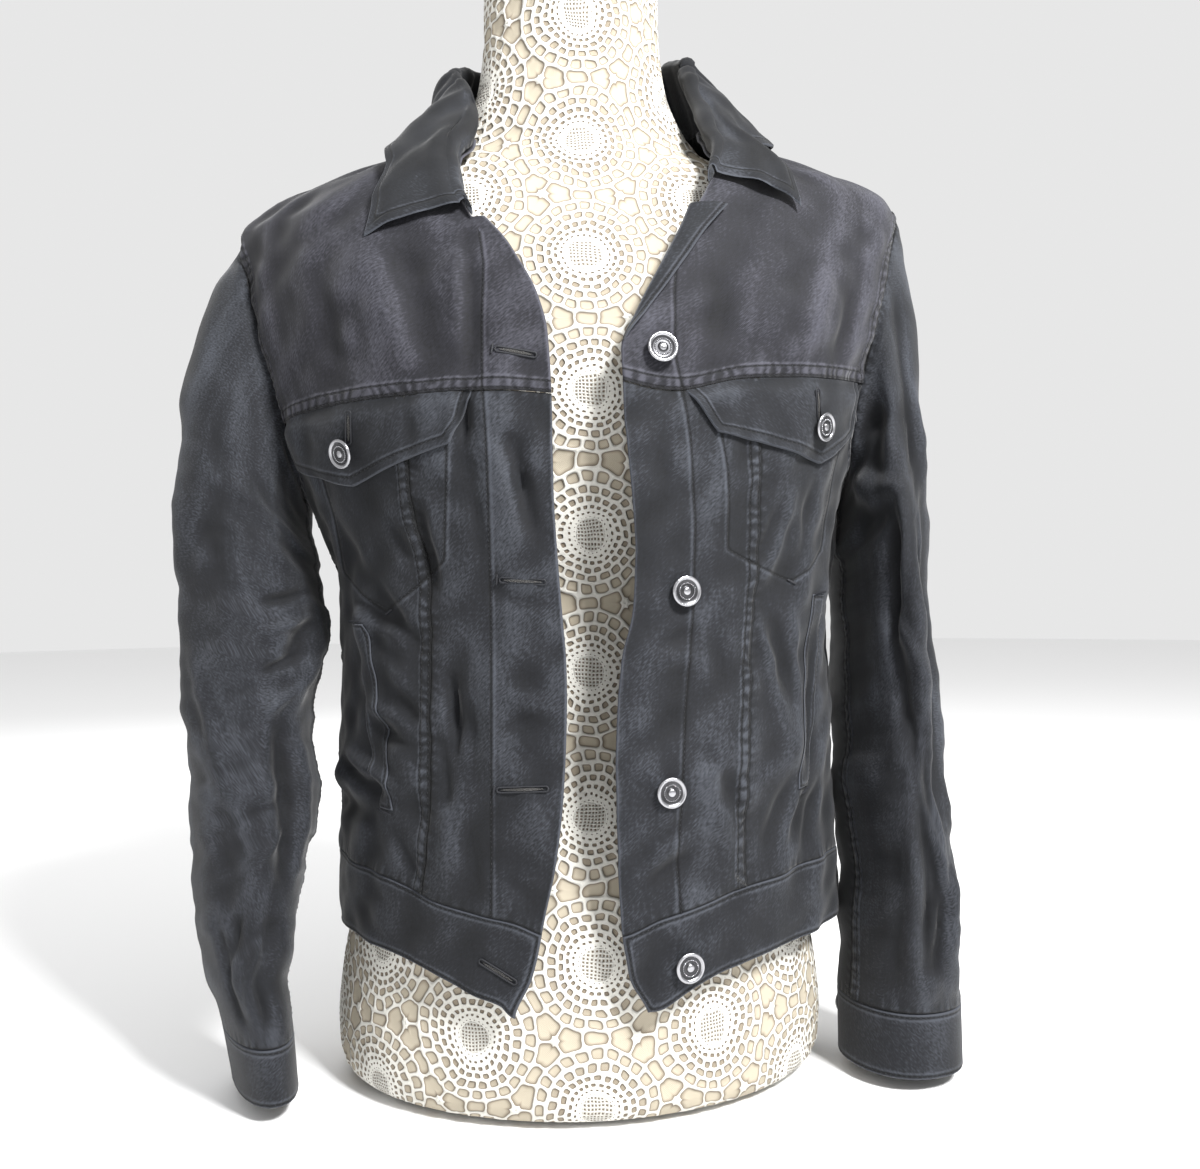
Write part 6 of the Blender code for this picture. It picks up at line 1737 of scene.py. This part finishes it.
def make_denim(name, dark, middle, light, fade, fade_across, seed):
    paint = Paint(name)
    u, v = paint.cloth_measure()
    felled, under, rim, row, sewn, sewn_away, along, relief, raised = map(
        paint.value, "felled under rim row sewn sewn_away along relief raised".split())
    clouds = paint.noise(u * 26 + seed, v * 17, 3.0, seed)
    fades = paint.noise(u * fade_across + seed, v * 5, 2.0, seed + 4.0)
    grain = paint.noise((u + v) * 260, (v - u) * 900, 2.0, seed + 8.0)
    slub = paint.noise(u * 900, v * 90, 1.0, seed + 12.0)
    twill = step("SINE", (u + v) * (2 * math.pi / TWILL_LENGTH))
    stray = paint.noise(along * 60, felled * 80, 1.0, seed)
    ladder = step("SINE", along * (2 * math.pi / PUCKER_LENGTH) + stray * 13)
    beside = step("MAXIMUM", within(felled, 0.0060, 0.0095), within(under, 0.0010, 0.0070) * 0.6)
    by_sewn = within(sewn_away, 0.0030, 0.0050)
    groove = line_at(row, 0.0007) + line_at(sewn, 0.0008) * by_sewn
    joint = step("MAXIMUM", line_at(under, 0.0009), line_at(felled, 0.0006))
    pale_line = (line_at(row - 0.0016, 0.0008) * 0.36
                 + line_at(sewn - 0.0018, 0.0010) * by_sewn * 0.34)
    # Pale wear on rims, seam lines and puckers and random tone, plus painted light on the ridges of
    # folds and creases and painted shade in their hollows, from the raised measure
    wear_and_shading = (line_at(rim, 0.0010) * 1.10 + pale_line + ladder * beside * 0.26 + relief * 0.34
              + step("MAXIMUM", step("MINIMUM", (raised - 0.10) * 0.17, 0.22), -0.26)
              + (clouds - 0.5) * 0.75 + (fades - 0.5) * fade + (grain - 0.5) * 1.25
              + (slub - 0.5) * 0.30 + twill * 0.06 + 0.40)
    colour = paint.blend(within(wear_and_shading, 0.48, -0.22), (*dark, 1), (*middle, 1))
    colour = paint.blend(within(wear_and_shading, 1.05, 0.48), colour, (*light, 1))
    # Painted shade: the stitch grooves and the joints between pieces are darkened towards black,
    # and the cloth beside the seams a little; this also stands for the dye that washing leaves in
    # these hollows
    hollow = step("MINIMUM", groove * 0.80 + joint * 0.8 + beside * 0.10, 1.0)
    colour = paint.blend(hollow, colour, (dark[0] * 0.35, dark[1] * 0.35, dark[2] * 0.35, 1))
    height = (ladder * beside * 0.00022 - groove * 0.00030 - joint * 0.00030 + grain * 0.00010
              + twill * 0.000018 + within(felled, 0.0070, 0.0080) * 0.00022 + clouds * 0.00030
              + line_at(rim - 0.0012, 0.0012) * 0.0002)
    paint.uniform(**{"Sheen Weight": 0.10, "Sheen Roughness": 0.45, "Specular IOR Level": 0.22})
    return paint.finish(colour, 0.78 + (grain - 0.5) * 0.2, height)


SLATE = dict(dark=(0.0021, 0.0024, 0.0031), middle=(0.0090, 0.0099, 0.0125),
             light=(0.043, 0.047, 0.057))
PLUM = dict(dark=(0.0028, 0.0029, 0.0040), middle=(0.0130, 0.0131, 0.0171),
            light=(0.052, 0.052, 0.065))
FINISHES = {
    "front": make_denim("denim_front", **SLATE, fade=0.9, fade_across=40, seed=1.0),
    "yoke": make_denim("denim_yoke", **PLUM, fade=1.3, fade_across=46, seed=2.0),
    "back": make_denim("denim_back", **SLATE, fade=1.0, fade_across=36, seed=3.0),
    "sleeve": make_denim("denim_sleeve", **SLATE, fade=1.2, fade_across=44, seed=4.0),
    "trim": make_denim("denim_trim", **SLATE, fade=0.7, fade_across=30, seed=5.0),
}
FINISH_OF = {"front_yoke": "yoke", "back_yoke": "yoke", "front": "front", "back": "back",
             "sleeve": "sleeve"}
for node, piece in PIECES.items():
    found = [finish for start, finish in FINISH_OF.items() if node.startswith(start)]
    piece.obj.data.materials.append(FINISHES[found[0] if found else "trim"])

# %% Thread, slits and metal
thread = Paint("black_thread")
spin = thread.speckle(2400.0, 1.0)
thread.uniform(**{"Specular IOR Level": 0.35})
black_thread = thread.finish(
    thread.blend(spin, (0.004, 0.0045, 0.006, 1), (0.020, 0.021, 0.026, 1)), 0.6)
# Near-black painted shade of the buttonholes' openings, with pale specks
gap = Paint("dark_slit")
frayed = within(gap.speckle(900.0, 2.0), 0.70, 0.56)
dark_slit = gap.finish(
    gap.blend(frayed, (0.002, 0.002, 0.003, 1), (0.30, 0.29, 0.27, 1)), 0.9)
steel = Paint("bright_steel")
scuff = steel.speckle(700.0, 4.0)
steel.uniform(Metallic=1.0)
bright_steel = steel.finish(
    steel.blend(within(scuff, 0.75, 0.35), (0.44, 0.44, 0.46, 1), (0.24, 0.24, 0.255, 1)),
    0.13 + scuff * 0.16, scuff * 0.00004)
for parts in STITCHES.values():
    for obj in parts:
        obj.data.materials.append(dark_slit if obj in SLITS else black_thread)
aged = Paint("aged_steel")
tarnish = aged.speckle(500.0, 3.0)
aged.uniform(Metallic=1.0)
aged_steel = aged.finish(aged.blend(tarnish, (0.02, 0.02, 0.022, 1), (0.10, 0.10, 0.105, 1)), 0.34)
for obj in BUTTONS:
    for metal in (bright_steel, aged_steel):
        obj.data.materials.append(metal)
    obj.data.polygons.foreach_set("material_index", BUTTON_SUNK.astype(int))

# %% [markdown]
# ## Medallion lace over the form
# The form wears a crocheted cover of round medallions: a woven disc, rings of holes that widen
# outwards, and wide openings where three medallions meet. One formula gives the holes.
# It lifts the mesh where there is thread, and the same formula colours the material.

# %% The pattern of the lace
MEDALLION_COLUMN, MEDALLION_ROW = 0.069, 0.080
DISC = 0.0090            # radius of the woven disc
GROWTH = 1.26            # each ring of holes is this much wider than the one inside it
RING_HOLES = 24
WIDE_RING = 6            # the ring of wide openings, where medallions meet
WIDE_HOLES = 18
THREAD = 0.00095         # half a thread's width
WIDE_THREAD = 0.00060
WEAVE = 0.0021


def lace_fill(u, v):
    """From 0 in the middle of a hole, over 1 at its rim, to more on the thread, at metres round
    and up the form; and the distance from the middle of the nearest medallion."""
    half_row = MEDALLION_ROW / 2
    a_x, a_y = (step("WRAP", u, MEDALLION_COLUMN, -MEDALLION_COLUMN),
                step("WRAP", v, half_row, -half_row))
    b_x, b_y = (step("WRAP", u + MEDALLION_COLUMN, MEDALLION_COLUMN, -MEDALLION_COLUMN),
                step("WRAP", v + half_row, half_row, -half_row))
    near_a = step("LESS_THAN", a_x * a_x + a_y * a_y, b_x * b_x + b_y * b_y)
    x, y = a_x * near_a + b_x * (1 - near_a), a_y * near_a + b_y * (1 - near_a)
    radius, turn = step("SQRT", x * x + y * y), step("ARCTAN2", y, x)
    ring = step("LOGARITHM", step("MAXIMUM", radius * (1 / DISC), 1.0), GROWTH)
    count = step("FLOOR", ring)
    wide = step("LESS_THAN", WIDE_RING - 0.5, count)
    holes = RING_HOLES + wide * (WIDE_HOLES - RING_HOLES)
    thread = THREAD + wide * (WIDE_THREAD - THREAD)
    spoke = turn * holes * (0.5 / math.pi) + count * 0.5
    cell = radius * math.pi / holes
    across = (spoke - step("FLOOR", spoke) - 0.5) * cell * 2 / (cell - thread)
    cell = radius * (math.log(GROWTH) / 2)
    along = (ring - count - 0.5) * cell * 2 / (cell - thread)
    across, along = across * across, along * along
    weave = step("MINIMUM", step("ABSOLUTE", step("SINE", x * (math.pi / WEAVE))),
                 step("ABSOLUTE", step("SINE", y * (math.pi / WEAVE))))
    in_disc = step("LESS_THAN", radius, DISC)
    return (1.9 - weave * 1.3) * in_disc + (across * across + along * along) * (1 - in_disc), radius


# %% Make the form
FORM_STEP = 0.0034
FORM_COLUMNS = 256
LACE_THICKNESS = 0.0009
LACE_SHIFT = 0.012       # the medallions start this far up the form
rows = spaced(FORM[-1].z, False, False, FORM_STEP)[:, None] * FORM[-1].z
turn = np.linspace(-0.5, 0.5, FORM_COLUMNS + 1)[None]
angle = 2 * math.pi * turn
depth = np.where(np.cos(angle) > 0, DRESS_FORM["front"](rows), DRESS_FORM["back"](rows))
power = 2 / DRESS_FORM["power"](rows)
form = np.stack([DRESS_FORM["half"](rows) * signed_power(np.sin(angle), power),
                 -depth * signed_power(np.cos(angle), power), rows + 0 * angle], -1)
form_u = lengths(form, 1)
form_u = form_u - form_u[:, FORM_COLUMNS // 2:FORM_COLUMNS // 2 + 1]
form_v = rows + 0 * form_u - LACE_SHIFT
form_out = normals_of(form) * -1
form_out *= np.sign((form_out * (form * (1, 1, 0))).sum(-1))[..., None]
thread_here = smooth_step(lace_fill(form_u, form_v)[0] - 0.4) * smooth_step(rows / 0.01)
form = form - form_out * (LACE_THICKNESS * (1 - thread_here))[..., None]
count = len(rows)
wide = np.arange(count * (FORM_COLUMNS + 1)).reshape(count, FORM_COLUMNS + 1)
quads = np.stack([wide[:-1, :-1], wide[:-1, 1:], wide[1:, 1:], wide[1:, :-1]], -1).reshape(-1, 4)
welded = (np.arange(count)[:, None] * FORM_COLUMNS
          + np.arange(FORM_COLUMNS + 1)[None] % FORM_COLUMNS).ravel()
faces = welded[quads].tolist()
base, cap = count * FORM_COLUMNS, count * FORM_COLUMNS + 1
last = (count - 1) * FORM_COLUMNS
for i in range(FORM_COLUMNS):
    j = (i + 1) % FORM_COLUMNS
    faces += [(base, j, i), (cap, last + i, last + j)]
verts = np.concatenate([form[:, :-1].reshape(-1, 3), [(0, 0, 0), (0, 0, FORM[-1].z)]])
form_cover = add_part("form_cover", verts, faces, "form_cover")
form_uv = np.stack([form_u.ravel(), form_v.ravel()], -1)
corners = np.concatenate([form_uv[quads.ravel()], np.zeros((FORM_COLUMNS * 6, 2))])
form_cover.data.uv_layers.new(name="cloth").data.foreach_set("uv", corners.ravel())
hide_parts("dress_form")
print("form:", len(faces), "faces")

# %% [markdown]
# ## The lace's finish
# Cream thread over a beige cover. The thread is matt cotton with a fine twist, and the cover
# below it is a plain close knit. Where it shows through the holes, the cover is painted dark
# brown at each hole's rim and in the small inner rings as painted shade, and stays pale beige
# in the middles of the wide outer holes.

# %% Colour the lace
lace = Paint("medallion_lace")
u, v = lace.cloth_measure()
drift = lace.noise(u * 30, v * 30, 2.0, 3.0)
drift_up = lace.noise(u * 34, v * 34, 2.0, 9.0)
fill, radius = lace_fill(u + (drift - 0.5) * 0.010, v + (drift_up - 0.5) * 0.010)
holes = within(fill, 0.86, 1.10)
lit = within(fill, 0.10, 0.85) * within(radius, 0.034, 0.012)
twist = lace.noise(u * 1500, v * 1500, 2.0, 5.0)
knit = step("SINE", u * 5200) * step("SINE", v * 5200)
cotton = lace.blend(twist, (0.54, 0.52, 0.47, 1), (0.75, 0.74, 0.69, 1))
# Painted shade: the cover is dark brown at the holes' rims and in the small inner holes, and pale
# beige where lit is 1
cover = lace.blend(lit * 0.85 + knit * 0.10, (0.13, 0.10, 0.07, 1), (0.46, 0.41, 0.32, 1))
shade_lace = lace.finish(lace.blend(holes, cotton, cover), 0.9,
                         step("MINIMUM", fill, 1.8) * 0.0007 + twist * 0.0003 + knit * 0.00003)
form_cover.data.materials.append(shade_lace)

# %% [markdown]
# ## What each cloth piece hangs from
# For each piece the code finds the piece it hangs from and reads its flat width and length,
# but uses neither further.

HANGS_FROM = {
    "front_centre": "front_yoke", "front_side": "front_yoke", "sleeve_upper": "front_yoke",
    "sleeve_under": "back_side", "cuff": "sleeve_upper", "pocket_flap": "front_side",
    "side_welt": "front_side", "back_side": "front_yoke"}
SINGLE = {"back_centre": "back_yoke", "waistband": "back_centre", "collar": "back_yoke",
          "lapel_left": "front_yoke_left", "back_yoke": "dress_form",
          "front_yoke_right": "dress_form", "front_yoke_left": "dress_form"}
for node, piece in PIECES.items():
    word = node.rsplit("_", 1)[-1]
    rests = SINGLE.get(node) or HANGS_FROM[node.rsplit("_", 1)[0]]
    if node not in SINGLE:
        rests = rests + "_" + word
    width, length = piece.flat
print("cloth laid flat:", round(sum(piece.area for piece in PIECES.values()), 2), "square metres")

# %% [markdown]
# ## Studio
# A plain pale floor under an even white sky, a bright key from the wearer's left, a faint fill
# and a light from behind. The camera stands close in front, a little to one side, at mid height.

# %% Floor, lights and camera
FLOOR_RADIUS, FLOOR_CORNERS, FLOOR_DROP = 6.0, 96, 0.0006
VIEW_TURN = math.radians(5)
VIEW_LEAN = math.radians(0.6)
VIEW_DISTANCE, VIEW_SHIFT, VIEW_HEIGHT = 0.80, 0.015, 0.303

angle = np.linspace(0, 2 * math.pi, FLOOR_CORNERS, endpoint=False)
floor_mesh = bpy.data.meshes.new("floor")
floor_mesh.from_pydata(np.stack([np.cos(angle), np.sin(angle), 0 * angle], -1) * FLOOR_RADIUS, [],
                       [tuple(range(FLOOR_CORNERS))])
floor = bpy.data.objects.new("floor", floor_mesh)
floor.location.z = -FLOOR_DROP
bpy.context.scene.collection.objects.link(floor)
paper = Paint("floor_paper")
grain = paper.node("ShaderNodeTexNoise", {}, {"Scale": 3.0})
floor_mesh.materials.append(
    paper.finish(paper.blend(grain, (0.86, 0.86, 0.86, 1), (0.89, 0.89, 0.89, 1)), 0.8))

world = bpy.data.worlds.new("studio")
world.use_nodes = True
sky = world.node_tree.nodes["Background"].inputs
sky["Color"].default_value, sky["Strength"].default_value = (1.0, 1.0, 1.0, 1), 0.80
bpy.context.scene.view_settings.view_transform = "Standard"
bpy.context.scene.world = world
Lamp = namedtuple("Lamp", "name x y z size power")
LAMPS = table(Lamp, """
key .75 -1.3 1.6 .4 92., fill -1.3 -1.1 .8 1.4 1., back -.3 1.5 1.4 1.4 12.""")
for lamp in LAMPS:
    light = bpy.data.lights.new(lamp.name, "AREA")
    light.size, light.energy = lamp.size, lamp.power
    obj = bpy.data.objects.new(lamp.name, light)
    obj.location = (lamp.x, lamp.y, lamp.z)
    obj.rotation_euler = (Vector((0, 0, 0.33)) - obj.location).to_track_quat("-Z", "Y").to_euler()
    bpy.context.scene.collection.objects.link(obj)

forward = Vector((math.sin(VIEW_TURN), math.cos(VIEW_TURN), 0))
to_right = Vector((math.cos(VIEW_TURN), -math.sin(VIEW_TURN), 0))
camera = bpy.data.objects.new("camera", bpy.data.cameras.new("camera"))
camera.data.sensor_width, camera.data.lens = 36.0, 36.93
camera.data.clip_start = 0.05
camera.location = to_right * VIEW_SHIFT - forward * VIEW_DISTANCE + Vector((0, 0, VIEW_HEIGHT))
camera.rotation_mode = "QUATERNION"
camera.rotation_quaternion = Quaternion(forward, VIEW_LEAN) @ forward.to_track_quat("-Z", "Y")
bpy.context.scene.collection.objects.link(camera)
bpy.context.scene.camera = camera
print("camera at", [round(value, 3) for value in camera.location])
